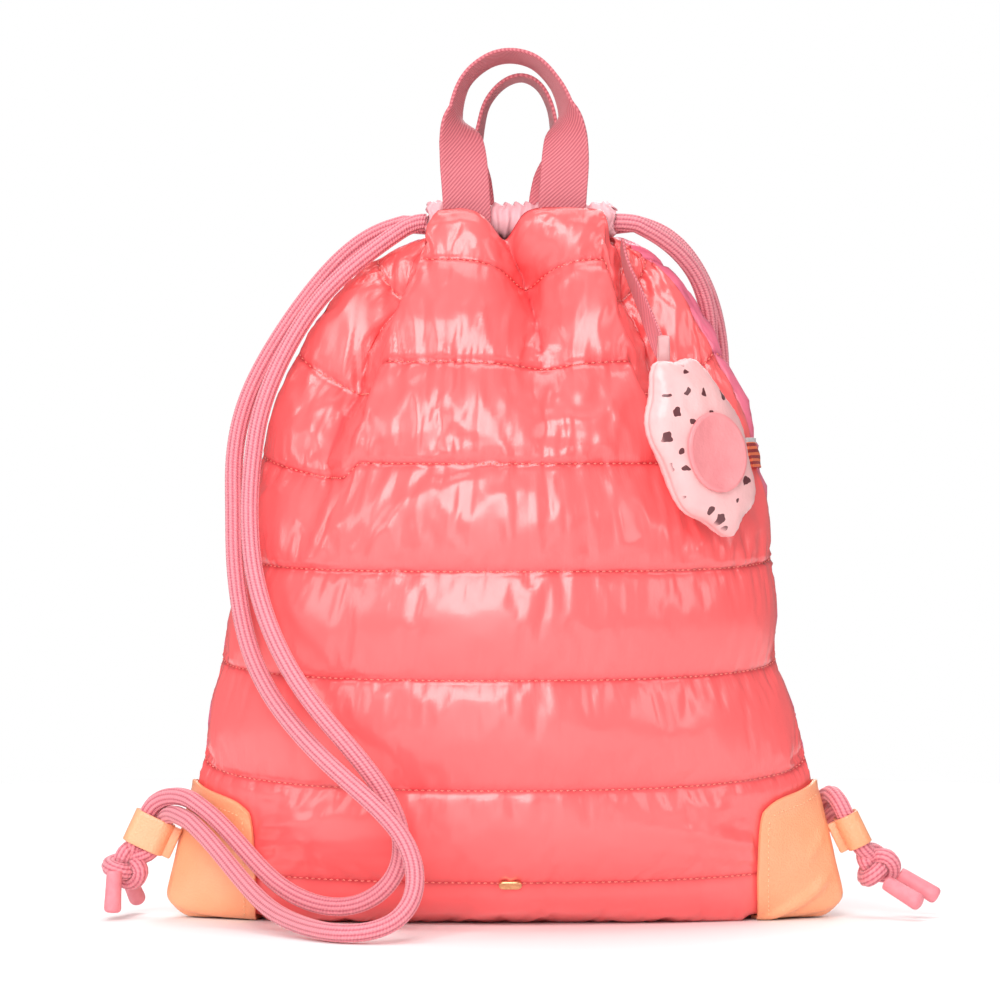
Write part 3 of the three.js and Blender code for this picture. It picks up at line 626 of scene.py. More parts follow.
# %% Leather
def grained_leather(name, dark, light):
    material = new_material(name, light, 0.36, Coat_Weight=0.25, Coat_Roughness=0.18)
    room = add_node(material, "TexCoord").outputs["Object"]
    grain = add_node(material, "TexVoronoi", {"Vector": room, "Scale": 900.0})
    crease = add_node(material, "TexNoise", {"Vector": room, "Scale": 60.0, "Detail": 6.0, "Distortion": 0.6})
    height = add_node(material, "Math", {0: grain.outputs["Distance"], 1: crease.outputs["Fac"]}, operation="ADD")
    bumped(material, height.outputs[0], 0.0005, 0.5)
    cloudy = add_node(material, "TexNoise", {"Vector": room, "Scale": 28.0, "Detail": 4.0})
    two_tone(material, cloudy.outputs["Fac"], dark, light)
    return material


peach_leather = grained_leather("peach_leather", srgb(242, 152, 106), srgb(252, 180, 138))


def twisted_thread(name, dark, light):
    material = new_material(name, light, 0.5)
    room = add_node(material, "TexCoord").outputs["Object"]
    plies = add_node(material, "TexWave", {"Vector": room, "Scale": 500.0, "Distortion": 1.5},
                     bands_direction="DIAGONAL")
    bumped(material, plies.outputs["Fac"], 0.0002, 0.5)
    two_tone(material, plies.outputs["Fac"], dark, light)
    return material


leather_thread = twisted_thread("leather_thread", srgb(240, 172, 126), srgb(255, 204, 164))
seam_thread = twisted_thread("seam_thread", srgb(226, 96, 88), srgb(252, 152, 140))

# %% Patches
PATCH_HEM = 2.25
PATCH_ROUND, PATCH_ROUND_TO = 7.0, 0.16
PATCH_EDGE_LIFT = 0.3
PATCH_TAPER = 0.13
PATCH_INNER_RIGHT = 0.54
PATCH_FOLD_DROP = 0.05
PATCH_FOLD = 0.14
PATCH_RIDGES = {  # start and end of each soft ridge (across, up), its width and its height in millimetres
    -1: [((-1.0, 0.75 + 0.055 * k), (-0.68, 0.78 + 0.055 * k), 0.02, 0.7) for k in range(4)],
    1: [((-1.0, 0.22), (-0.06, 0.5), 0.04, 2.2), ((-0.34, 0.67), (-0.04, 0.77), 0.035, 0.8)],
}


def ridge_heights(hand, across, up):
    """How far the leather lifts along its ridges, in millimetres."""
    total = np.zeros(len(up))
    for start, end, width, height in PATCH_RIDGES[hand]:
        line = np.subtract(end, start)
        length = np.hypot(*line)
        offset = np.stack([across, up], axis=1) - start
        along = offset @ line / length ** 2
        away = (offset[:, 0] * line[1] - offset[:, 1] * line[0]) / length
        shown = smoothstep(-0.05, 0.25, along) * (1 - smoothstep(0.75, 1.05, along))
        total += height * shown * np.exp(-((away / width) ** 2))
    return total


def patch_points(hand, across, up, lift):
    """Points of a corner patch: across from front (-1) to back (1), up from its foot (0) to its top (1)."""
    inner = PATCH_INNER if hand < 0 else PATCH_INNER_RIGHT
    from_fold = 1 - np.sin(math.pi / 2 * (1 - np.abs(across) * (1 - inner)))
    ridges = ridge_heights(hand, np.sign(across) * from_fold / (1 - math.sin(math.pi / 2 * inner)), up)
    reach = np.abs(across) * (1 - 0.05 * up ** 10)
    up = up * (1 - 0.05 * np.abs(across) ** 12)
    at = hand * (1 - reach * (1 - inner) * (1 - PATCH_TAPER * up ** 3))
    top_row = PATCH_TOP_ROW - PATCH_SLOPE * reach ** 2 - PATCH_FOLD_DROP * np.exp(-((reach / 0.12) ** 2))
    row = PATCH_FOOT_ROW + up * (top_row - PATCH_FOOT_ROW)
    front = panel_surface(-1, at, row, FRONT_PUFF, lift + ridges)
    back = panel_surface(1, at, row, BACK_PUFF, lift + ridges)
    points = np.where((across < 0)[:, None], front, back)
    seam = panel_points(-1, np.full_like(at, hand), row)[:, 1] * MM
    points[:, 1] = seam + (points[:, 1] - seam) * smoothstep(0, PATCH_FOLD, reach)
    points[:, 0] += hand * lift * PATCH_EDGE_LIFT * MM * np.exp(-((reach / PATCH_FOLD) ** 2))
    points[:, 2] = PATCH_HEM * MM + (points[:, 2] - PATCH_HEM * MM) * smoothstep(-0.02, 0.12, up)
    inwards = np.clip(1 - up / PATCH_ROUND_TO, 0, 1) ** 2 * np.exp(-((reach / 0.5) ** 2))
    points[:, 0] -= hand * PATCH_ROUND * MM * inwards
    points[:, 2] = np.maximum(points[:, 2], PATCH_HEM * MM)
    return points


def round_edges(piece, width, segments=2):
    bevel = piece.modifiers.new("edges", "BEVEL")
    bevel.width = width
    bevel.segments = segments
    bevel.limit_method = "ANGLE"
    bevel.angle_limit = math.radians(50)


def corner_patch(name, hand):
    bm, u, v = flat_grid(96, 48)
    move_to(bm, patch_points(hand, 2 * u - 1, v, LEATHER_GAP))
    face_outwards(bm, Vector((hand * 0.1, 0, 0.04)))
    piece = finish_piece(name, bm, peach_leather, [name])
    thicken(piece, LEATHER_THICK * MM, offset=1.0)
    round_edges(piece, 0.0004)
    return piece


patches = [corner_patch("corner_patch_left", -1), corner_patch("corner_patch_right", 1)]


# %% Stitches
def add_stitches(bm, line, pitch, length, radius):
    """Small threads along a line, each a stretched round bead that dips at its ends."""
    run = resample(line, pitch)
    for start, end in zip(run[:-1], run[1:]):
        along = Vector(end - start).normalized()
        turn = along.to_track_quat("X", "Z").to_matrix().to_4x4()
        stretch = Matrix.Diagonal((length / 2, radius, radius, 1))
        place = Matrix.Translation(Vector((start + end) / 2))
        bmesh.ops.create_icosphere(bm, subdivisions=1, radius=1, matrix=place @ turn @ stretch)


patch_thread = bmesh.new()
for hand in (-1, 1):
    lift = LEATHER_GAP + LEATHER_THICK + 0.15
    for side in (-1, 1):
        up = np.linspace(0.11, 0.93, 24)
        add_stitches(patch_thread, patch_points(hand, np.full(24, 0.93 * side), up, lift), 0.0030, 0.0022, 0.0004)
        over = side * np.linspace(0.18, 0.9, 20)
        add_stitches(patch_thread, patch_points(hand, over, np.full(20, 0.94), lift), 0.0030, 0.0022, 0.0004)
finish_piece("corner_stitches", patch_thread, leather_thread)

# %% Stitches of the quilting
SEAM_PITCH, SEAM_STITCH, SEAM_THREAD = 0.0034, 0.0023, 0.00042


def quilting_stitches(name, panel, at, row, material):
    bm = bmesh.new()
    points = mesh_points(panel)
    normals = np.array([vertex.normal for vertex in panel.data.vertices])
    for line in range(LOWEST_QUILT_ROW, MOUTH_ROW):
        covered = PATCH_INNER + 0.02 if line == LOWEST_QUILT_ROW else 0.985
        on_line = np.flatnonzero((np.abs(row - line) < 1e-3) & (np.abs(at) < covered))
        on_line = on_line[np.argsort(at[on_line])]
        add_stitches(bm, points[on_line] + normals[on_line] * 0.0003, SEAM_PITCH, SEAM_STITCH, SEAM_THREAD)
    return finish_piece(name, bm, material)


front_stitches = quilting_stitches("front_stitches", front_panel, front_at, front_row, seam_thread)
back_stitches = quilting_stitches("back_stitches", back_panel, back_at, back_row, seam_thread)
for panel in (front_panel, back_panel):
    thicken(panel, 0.0014)

# %% [markdown]
# ## Leather loops
# A strip of leather folds round both strands of a cord at each corner, and its ends are sewn to the patch.
# A grid bent into a flattened ring is the strip, and a small rounded block is the sewn tail.

# %% Loops
LOOPS = {  # centre, direction down the cord, direction across it, direction of the tail
    "left": ((-188.1, -3, 45.5), (-0.423, 0, -0.906), (0.906, 0, -0.423), (1, 0)),
    "right": ((184.1, 1.5, 46.3), (0.44, 0, -0.898), (0, -1, 0), (0, 1)),
}
LOOP_LENGTH, LOOP_PITCH, LOOP_INSIDE = 18, 4.6, 4.9
LOOP_TAIL, LOOP_TAIL_WIDTH = 5.0, 4.2


def loop_axes(hand):
    centre, down, across, tail = (np.array(part, dtype=float) for part in LOOPS[hand])
    down = down / np.linalg.norm(down)
    across = across / np.linalg.norm(across)
    return centre, down, across, np.cross(down, across), tail


def leather_loop(hand):
    centre, down, across, deep, tail = loop_axes(hand)
    bm, u, v = flat_grid(48, 8)
    angle = 2 * math.pi * u
    waist = 1 - 0.12 * np.sin(math.pi * v)
    wide = np.sign(np.cos(angle)) * LOOP_PITCH + LOOP_INSIDE * np.cos(angle)
    high = LOOP_INSIDE * np.sin(angle) * np.where(np.abs(wide) < LOOP_PITCH, waist, 1)
    along = (v - 0.5) * LOOP_LENGTH
    move_to(bm, (centre + np.outer(wide, across) + np.outer(high, deep) + np.outer(along, down)) * MM)
    bmesh.ops.remove_doubles(bm, verts=bm.verts, dist=1e-6)
    face_outwards(bm, Vector(centre * MM))
    bmesh.ops.solidify(bm, geom=bm.faces[:], thickness=-LEATHER_THICK * MM)
    outer = LOOP_INSIDE + LEATHER_THICK + LOOP_PITCH * abs(tail[0])
    middle = centre + (across * tail[0] + deep * tail[1]) * (outer + LOOP_TAIL / 2 - 0.6)
    flat_way = deep * tail[0] + across * tail[1]
    out_way = across * tail[0] + deep * tail[1]
    turn = Matrix([out_way, flat_way, down]).transposed().to_4x4()
    size = Matrix.Diagonal((LOOP_TAIL * MM, LOOP_TAIL_WIDTH * MM, LOOP_LENGTH * MM * 0.94, 1))
    block = bmesh.ops.create_cube(bm, size=1, matrix=Matrix.Translation(Vector(middle * MM)) @ turn @ size)
    edges = list({edge for vertex in block["verts"] for edge in vertex.link_edges})
    bmesh.ops.bevel(bm, geom=edges, offset=0.0009, affect="EDGES", segments=3, profile=0.5, material=-1)
    bmesh.ops.recalc_face_normals(bm, faces=bm.faces)
    piece = finish_piece("cord_loop_" + hand, bm, peach_leather, ["cord_loop_" + hand])
    round_edges(piece, 0.0004)
    return piece


loops = [leather_loop("left"), leather_loop("right")]

# %% [markdown]
# ## Drawstrings
# Each drawstring leaves the tunnel, hangs round the side of the bag, touches the floor and climbs back to its
# loop at the corner. The routes are the centre lines of the imported cords. The puffed cloth is not quite where
# its solid was, so every point that comes too near is pushed off the bag, and a little smoothing keeps the
# line limp. A braid has ribs along its length, which are shaped, and its crossing yarns are bumped. The rib valleys are
# darkened with painted shade.

# %% Braided cord
CORD_RADIUS = 4.5 * MM
CORD_ROOM = CORD_RADIUS + 0.5 * MM
CORD_RIBS = 10


def braided_cord(name, dark, light):
    material = new_material(name, light, 0.6, Sheen_Weight=0.25, Sheen_Roughness=0.5)
    cut = add_node(material, "TexCoord").outputs["UV"]
    parts = add_node(material, "SeparateXYZ", {0: cut})
    length = add_node(material, "Attribute", attribute_name="run").outputs["Fac"]
    rib_turn = add_node(material, "Math", {0: parts.outputs["X"], 1: CORD_RIBS * math.pi}, operation="MULTIPLY")
    rib_wave = add_node(material, "Math", {0: rib_turn.outputs[0]}, operation="COSINE")
    rib = add_node(material, "Math", {0: rib_wave.outputs[0]}, operation="ABSOLUTE")
    yarn_turn = add_node(material, "Math", {0: length, 1: 2 * math.pi / 0.0016}, operation="MULTIPLY")
    slant = add_node(material, "Math", {0: rib_turn.outputs[0], 1: 1.0, 2: yarn_turn.outputs[0]}, operation="MULTIPLY_ADD")
    yarn = add_node(material, "Math", {0: slant.outputs[0]}, operation="SINE")
    bumped(material, yarn.outputs[0], 0.00022, 0.6)
    fuzz = add_node(material, "TexNoise", {"Vector": add_node(material, "TexCoord").outputs["Object"], "Scale": 900.0})
    # Painted shade: the colour is darker in the valleys between the shaped ribs. The yarn and the fuzz add tone of the
    # cord's own.
    tone = add_node(material, "Math", {0: yarn.outputs[0], 1: 0.12, 2: rib.outputs[0]}, operation="MULTIPLY_ADD")
    fuzz_and_rib_shade = add_node(material, "Math", {0: fuzz.outputs["Fac"], 1: 0.6, 2: tone.outputs[0]}, operation="MULTIPLY_ADD")
    shade = add_node(material, "MapRange", {"Value": fuzz_and_rib_shade.outputs[0], "From Min": 0.3, "From Max": 1.25})
    two_tone(material, shade.outputs[0], dark, light)
    return material


cord_braid = braided_cord("cord_braid", srgb(190, 84, 102), srgb(234, 142, 152))


def store_run(piece, path):
    """Stores on each point how far along the cord it lies, in metres."""
    tree = KDTree(len(path))
    for k, point in enumerate(path):
        tree.insert(point, k)
    tree.balance()
    steps = np.linalg.norm(np.diff(path, axis=0), axis=1)
    run = np.concatenate([[0], np.cumsum(steps)])
    value = piece.data.attributes.new("run", "FLOAT", "POINT")
    value.data.foreach_set("value", [run[tree.find(vertex.co)[1]] for vertex in piece.data.vertices])


# %% Routes of the four strands, in millimetres
CORD_ROUTES = {
    "cord_left_outer": [
        (-41.3, 15.2, 367), (-48, 15.2, 367.5), (-58, 15, 368), (-72, 13, 362), (-86, 10, 351), (-101, 7, 334),
        (-116, 3, 313), (-128, 0, 293), (-136, -4, 276), (-141, -8, 258), (-143, -13, 238), (-142, -20, 220),
        (-141, -32, 189), (-136, -46, 157), (-129, -57, 136), (-117, -71, 116), (-98, -88, 95), (-81, -99, 80),
        (-63, -107, 65), (-50, -113, 51), (-44, -119, 35), (-45, -125, 21), (-52, -130, 11), (-65, -134, 6),
        (-80, -133, 5), (-98, -114, 6), (-117, -88, 11), (-128, -72, 18.5), (-140, -56, 30), (-151, -43, 41.5),
        (-161, -31, 50.5), (-169, -21, 54.5), (-175.5, -11, 55.5), (-178.2, -3, 54.9)],
    "cord_left_inner": [
        (-41.3, -13.4, 367), (-47, -13.8, 366.4), (-58, -16, 361), (-72, -19, 350), (-88, -20, 337),
        (-102, -20, 321), (-114, -22, 301), (-122, -25, 284), (-129, -29, 263), (-132, -34, 237), (-133, -39, 220),
        (-131, -49, 189), (-124, -62, 163), (-113, -75, 139), (-98, -85, 117), (-81, -91, 98), (-67, -93, 81),
        (-57, -92, 66), (-52, -90, 51), (-52, -87, 37), (-57, -84, 26), (-67, -82, 17), (-82, -80, 12),
        (-97, -77, 14), (-113, -68, 20.5), (-126, -56, 31), (-138, -44, 43), (-149, -34, 53.5), (-160, -24, 61.5),
        (-170, -15, 65), (-179, -8, 64), (-185.5, -4, 60), (-186.6, -3, 58.8)],
    "cord_right_outer": [
        (57.3, 15.2, 367), (65, 15.3, 368), (76, 17, 368), (88, 20, 362), (98, 24, 352), (108, 30, 335),
        (114, 40, 317), (117, 48, 296), (117, 55, 270), (115, 62, 238), (112, 68, 200), (108, 75, 162),
        (103, 82, 125), (96, 90, 92), (88, 98, 60), (79, 108, 32), (73, 120, 12), (76, 134, 6), (89, 142, 5),
        (106, 134, 5), (121, 115, 5), (135, 91, 7), (148, 69, 14), (158, 52, 26), (166, 37, 38), (171, 25, 47),
        (175, 15, 53.5), (178, 8.5, 56.5), (178.5, 6.1, 57.6)],
    "cord_right_inner": [
        (57.3, -13.4, 367), (64, -13.4, 367), (74, -12, 365), (84, -8, 359), (93, -2, 352), (101, 6, 343),
        (106, 14, 333), (109, 20, 322), (110, 28, 306), (109, 37, 287), (106, 47, 264), (101, 57, 236),
        (95, 67, 203), (88, 76, 170), (80, 84, 137), (71, 91, 104), (61, 97, 72), (50, 104, 43), (42, 114, 20),
        (40, 128, 7), (48, 150, 5), (66, 163, 5), (90, 164, 5), (114, 152, 5), (134, 128, 5), (148, 101, 9),
        (157, 77, 22), (163, 57, 37), (167, 40, 50), (169.5, 26, 59), (171.5, 15, 63.5), (174, 6, 64.5),
        (177, -1, 61), (178.5, -3.1, 57.6)],
}
KNOTS = {"left": (-200.04, -3, 27.5), "right": (196.8, 1.8, 27.6)}
TIPS = {  # top and end of each dipped tip
    "left_a": ((-205.5, -13.5, 25.8), (-206.5, -14.1, 3.8)),
    "left_b": ((-200.1, 5.3, 21.4), (-196.1, 22.5, 7.0)),
    "right_a": ((201.4, -6.4, 18.9), (218.4, -17, 8.8)),
    "right_b": ((209.2, 3.4, 22.7), (229.2, -1, 10.8)),
}
LOOP_HELD = 8  # steps of a strand, before its loop, that keep their route
LOOP_STRAND = {"cord_left_outer": 1, "cord_left_inner": -1, "cord_right_outer": -1, "cord_right_inner": 1}


# %% Lay a strand on the bag
def off_the_bag(path, held, trees):
    """Pushes the free points of a path out of the bag and above the floor."""
    path = path.copy()
    for _ in range(14):
        smooth = path.copy()
        smooth[1:-1] = path[1:-1] * 0.5 + (path[:-2] + path[2:]) * 0.25
        path = np.where(held[:, None], path, smooth)
        for k in np.flatnonzero(~held):
            point = Vector(path[k])
            for tree, room in trees:
                near, normal, _, distance = tree.find_nearest(point, 0.03)
                if near is None:
                    continue
                side = (point - near).dot(normal)
                if side < -0.5 * distance:
                    point = point + normal * (room - side)
                elif distance < room:
                    point = near + (point - near).normalized() * room
            point.z = max(point.z, CORD_RADIUS + 0.0002)
            path[k] = point
    return path


def lay_cord(name, hand):
    centre, down, across, deep, _ = loop_axes(hand)
    strand = centre + across * LOOP_PITCH * LOOP_STRAND[name]
    through = [strand - down * LOOP_LENGTH * 0.5, strand, strand + down * LOOP_LENGTH * 0.5]
    into_knot = np.array(KNOTS[hand]) - down * 4
    route = resample(np.array(CORD_ROUTES[name][:-1] + through + [into_knot]) * MM, 4 * MM)
    held = np.zeros(len(route), dtype=bool)
    held[:4] = True
    to_loop = np.linalg.norm(route - through[0] * MM, axis=1)
    held[to_loop.argmin() - LOOP_HELD:] = True
    trees = [(bag_surface, CORD_ROOM), (patch_surface, CORD_ROOM + LEATHER_THICK * MM)]
    path = resample(off_the_bag(route, held, trees), 2.5 * MM)
    bm = tube(path, CORD_RADIUS, 40, CORD_RIBS, 0.14)
    piece = finish_piece(name, bm, cord_braid, [name])
    store_run(piece, path)
    return piece, path


patch_surface = surface_tree(patches)
cords = {name: lay_cord(name, name.split("_")[1]) for name in CORD_ROUTES}


# %% Knots and dipped tips
def knot_path(hand):
    """An overhand knot: from the loop down, three times over itself, and out to the hanging tip."""
    centre, down, across, deep, _ = loop_axes(hand)
    middle = np.array(KNOTS[hand])
    t = np.linspace(0.35, 2 * math.pi + 0.1, 40)
    flat = np.stack([np.sin(t) + 2 * np.sin(2 * t), np.cos(t) - 2 * np.cos(2 * t)], axis=1) * 2.9
    rise = -np.sin(3 * t) * 4.3
    face = np.array([0.25 if hand == "left" else -0.25, -0.9, 0.35])
    face = face / np.linalg.norm(face)
    one = np.cross(down, face)
    one = one / np.linalg.norm(one)
    two = np.cross(face, one)
    turns = middle + np.outer(flat[:, 0], one) + np.outer(flat[:, 1], two) + np.outer(rise, face)
    return resample(turns * MM, 1.6 * MM)


def tie_knot(hand):
    path = knot_path(hand)
    bm = tube(path, CORD_RADIUS * 0.97, 40, CORD_RIBS, 0.14)
    piece = finish_piece("knot_" + hand, bm, cord_braid, ["knot_" + hand])
    store_run(piece, path)
    return piece


def dipped_tip(key, material):
    top, end = (np.array(place) * MM for place in TIPS[key])
    share = np.array([0, 0.04, 0.1, 0.2, 0.4, 0.6, 0.8, 0.88, 0.93, 0.97, 0.99, 1])
    width = np.array([0.84, 0.9, 0.92, 0.94, 0.96, 0.99, 1.03, 1.04, 1.0, 0.86, 0.66, 0.3])
    path = top + (end - top) * share[:, None]
    bm = tube(path, 4.4 * MM, 24, taper=width)
    return finish_piece("cord_tip_" + key, bm, material, ["cord_tip_" + key])


def glossy_dip(name, dark, light):
    material = new_material(name, light, 0.55, Coat_Weight=0.06, Coat_Roughness=0.35)
    room = add_node(material, "TexCoord").outputs["Object"]
    ripple = add_node(material, "TexNoise", {"Vector": room, "Scale": 260.0, "Detail": 2.0})
    bumped(material, ripple.outputs["Fac"], 0.0006, 0.5)
    two_tone(material, ripple.outputs["Fac"], dark, light)
    return material


knots = {hand: tie_knot(hand) for hand in ("left", "right")}
dip = glossy_dip("pink_dip", srgb(218, 118, 130), srgb(238, 146, 154))
tips = {key: dipped_tip(key, dip) for key in TIPS}
for name, (piece, path) in cords.items():
    hand = name.split("_")[1]
    print(name, "length", round(path_length(path), 3), "m")

# %% [markdown]
# ## Tunnels at the mouth
# The cords run in two sleeves of thin pale cloth. A drawn sleeve is longer than its cord, so it stands in rings
# of small folds, and its open ends flare. Each is a strip bent round the cord, with folds that wander so that
# no two are alike.

# %% Gathered sleeves
TUNNEL_LEFT, TUNNEL_RIGHT, TUNNEL_Z = -41, 57, 368
TUNNEL_HIGH, TUNNEL_DEEP = 9.0, 7.2
TUNNEL_FOLDS = 17


def thin_cloth(name, dark, light):
    material = new_material(name, light, 0.5, Coat_Weight=0.1, Coat_Roughness=0.3)
    room = add_node(material, "TexCoord").outputs["Object"]
    crinkle = add_node(material, "TexNoise", {"Vector": room, "Scale": 220.0, "Detail": 5.0})
    bumped(material, crinkle.outputs["Fac"], 0.0009, 0.6)
    cloudy = add_node(material, "TexNoise", {"Vector": room, "Scale": 70.0, "Detail": 3.0})
    two_tone(material, cloudy.outputs["Fac"], dark, light)
    return material


pale_cloth = thin_cloth("pale_cloth", srgb(224, 150, 158), srgb(242, 184, 190))


def gathered_tunnel(name, middle_y):
    bm, u, v = flat_grid(44, 110)
    angle = 2 * math.pi * u
    along = TUNNEL_LEFT + v * (TUNNEL_RIGHT - TUNNEL_LEFT)
    wander = np.array([noise.noise((x * 0.06, math.cos(a), math.sin(a) + middle_y)) for x, a in zip(along, angle)])
    fold = np.sin(2 * math.pi * v * TUNNEL_FOLDS + 2.6 * wander)
    mouth = np.minimum(v, 1 - v)
    ragged = np.array([noise.noise((math.cos(a) * 1.7, math.sin(a) * 1.7, middle_y + x)) for x, a in zip(v // 0.5, angle)])
    flare = np.exp(-((mouth - 0.05) / 0.045) ** 2) - 0.8 * np.exp(-(mouth / 0.02) ** 2)
    size = 1 + (0.11 + 0.06 * wander) * fold * (1 - 0.5 * flare) + (0.16 + 0.16 * ragged) * flare + 0.08 * wander
    x = along + 0.5 * fold * np.cos(2 * angle) + np.sign(v - 0.5) * 5 * ragged * np.exp(-mouth / 0.08)
    y = middle_y + TUNNEL_DEEP * size * np.cos(angle)
    z = TUNNEL_Z + TUNNEL_HIGH * size * np.sin(angle)
    move_to(bm, np.stack([x, y, z], axis=1) * MM)
    bmesh.ops.remove_doubles(bm, verts=bm.verts, dist=1e-6)
    bmesh.ops.recalc_face_normals(bm, faces=bm.faces)
    cut_area = sum(face.calc_area() for face in bm.faces)
    piece = finish_piece(name, bm, pale_cloth, [name])
    thicken(piece, 0.0006)
    return piece


tunnels = [gathered_tunnel("tunnel_front", -13.2), gathered_tunnel("tunnel_back", 15.2)]

# %% [markdown]
# ## Webbing
# The handles are bands of woven webbing that rise from the mouth, turn on edge at the sides and meet in a
# loop. A table gives the centre line and how far the band is turned at each point. The twill is a bump of
# slanting ridges on the band's own UV map, where one unit is a band's width or length.

# %% Bands
FRONT_HANDLE = [
    (-20, -21.8, 352, 0), (-20, -21.8, 374, 0), (-21.5, -20, 395, 4), (-23, -17, 409, 25), (-26, -13, 424, 76),
    (-21, -10, 441, 80), (-10, -8, 451.5, 80), (2.5, -7, 455, 80), (15.5, -8, 451.5, 80), (26, -10, 440.5, 80),
    (32, -13, 426, 74), (32, -17, 411, 28), (31.5, -20, 396, 4), (30, -21.8, 374, 0), (30, -21.8, 352, 0)]
BACK_HANDLE = [
    (-18, 23.5, 352, 0), (-18, 23.5, 374, 0), (-18, 22, 392, 35), (-16.5, 19, 405, 78), (-13.5, 16.5, 418, 84),
    (-9.5, 15.5, 432, 86), (-1, 15, 442, 87), (9, 14.5, 445.5, 88), (18, 15, 441, 87), (24, 15.5, 430, 86),
    (26.5, 17, 416, 84), (27, 19, 404, 76), (26, 22, 392, 35), (25, 23.5, 374, 0), (25, 23.5, 352, 0)]
CHARM_STRAP = [
    (61.3, -24.6, 356, 84), (63.3, -29.6, 345, 76), (69, -38, 328, 64), (75.5, -48, 311, 54), (81, -61, 297, 56)]


def twill_webbing(name, dark, light, length, width):
    material = new_material(name, light, 0.6, Sheen_Weight=0.2, Sheen_Roughness=0.5)
    cut = add_node(material, "TexCoord").outputs["UV"]
    parts = add_node(material, "SeparateXYZ", {0: cut})
    across = add_node(material, "Math", {0: parts.outputs["X"], 1: width / 0.0022}, operation="MULTIPLY")
    slant = add_node(material, "Math", {0: parts.outputs["Y"], 1: length / 0.0022, 2: across.outputs[0]},
                     operation="MULTIPLY_ADD")
    turns = add_node(material, "Math", {0: slant.outputs[0], 1: 2 * math.pi}, operation="MULTIPLY")
    wave = add_node(material, "Math", {0: turns.outputs[0]}, operation="SINE")
    bumped(material, wave.outputs[0], 0.0002, 0.5)
    shade = add_node(material, "Math", {0: wave.outputs[0], 1: 0.5, 2: 0.5}, operation="MULTIPLY_ADD")
    two_tone(material, shade.outputs[0], dark, light)
    return material


def band(name, route, width, thickness, dark, light):
    table = np.array(route, dtype=float)
    path = resample(table[:, :3], 2.0)
    run = np.concatenate([[0], np.cumsum(np.linalg.norm(np.diff(table[:, :3], axis=0), axis=1))])
    turn = np.radians(np.interp(np.linspace(0, run[-1], len(path)), run, table[:, 3]))
    along = np.gradient(path, axis=0)
    along /= np.linalg.norm(along, axis=1)[:, None]
    depth_axis = np.array([0, -1.0, 0])
    outward = np.cross(depth_axis, along)
    outward /= np.linalg.norm(outward, axis=1)[:, None]
    wide = outward * np.cos(turn)[:, None] + depth_axis * np.sin(turn)[:, None]
    wide -= along * np.sum(wide * along, axis=1)[:, None]
    wide /= np.linalg.norm(wide, axis=1)[:, None]
    bm, u, v = flat_grid(10, len(path) - 1)
    place = np.round(v * (len(path) - 1)).astype(int)
    bulge = np.cross(along, wide) * (0.5 * np.sin(np.linspace(0, 9, len(path))))[:, None]
    cupped = (2 * u - 1) ** 2
    move_to(bm, (path[place] + wide[place] * ((u - 0.5) * width)[:, None] + bulge[place] * cupped[:, None]) * MM)
    material = twill_webbing(name + "_twill", dark, light, path_length(path) * MM, width * MM)
    piece = finish_piece(name, bm, material, [name])
    thicken(piece, thickness * MM, offset=0.0)
    round_edges(piece, 0.0005)
    return piece


ROSE_DARK, ROSE_LIGHT = srgb(180, 80, 92), srgb(216, 118, 126)
front_handle = band("front_handle", FRONT_HANDLE, 25, 1.8, ROSE_DARK, ROSE_LIGHT)
back_handle = band("back_handle", BACK_HANDLE, 25, 1.8, ROSE_DARK, ROSE_LIGHT)
charm_strap = band("charm_strap", CHARM_STRAP, 10, 1.5, ROSE_DARK, ROSE_LIGHT)

# %% [markdown]
# ## Charm
# A small padded pouch of satin hangs beside the seam on a loop of tape. It has a scalloped outline, a seam
# round its middle and a plain oval patch. A flat disc of rings is puffed up on both sides of the seam. The
# flecks of its print are drawn by the material on the pouch's own UV map, only where the cloth faces out.

# %% Pouch
CHARM_PLACE = Matrix.Translation(Vector((99.3, -77.9, 248.7)) * MM) @ Matrix.Rotation(math.pi / 2, 4, "X")
CHARM_PLACE = CHARM_PLACE @ Matrix.Rotation(math.radians(35), 4, "Y") @ Matrix.Rotation(math.radians(28), 4, "Z")
CHARM_LENGTH, CHARM_WIDTH, CHARM_THICK = 98, 54, 24
CHARM_LOBES, CHARM_LOBE_DEPTH = 7, 0.05


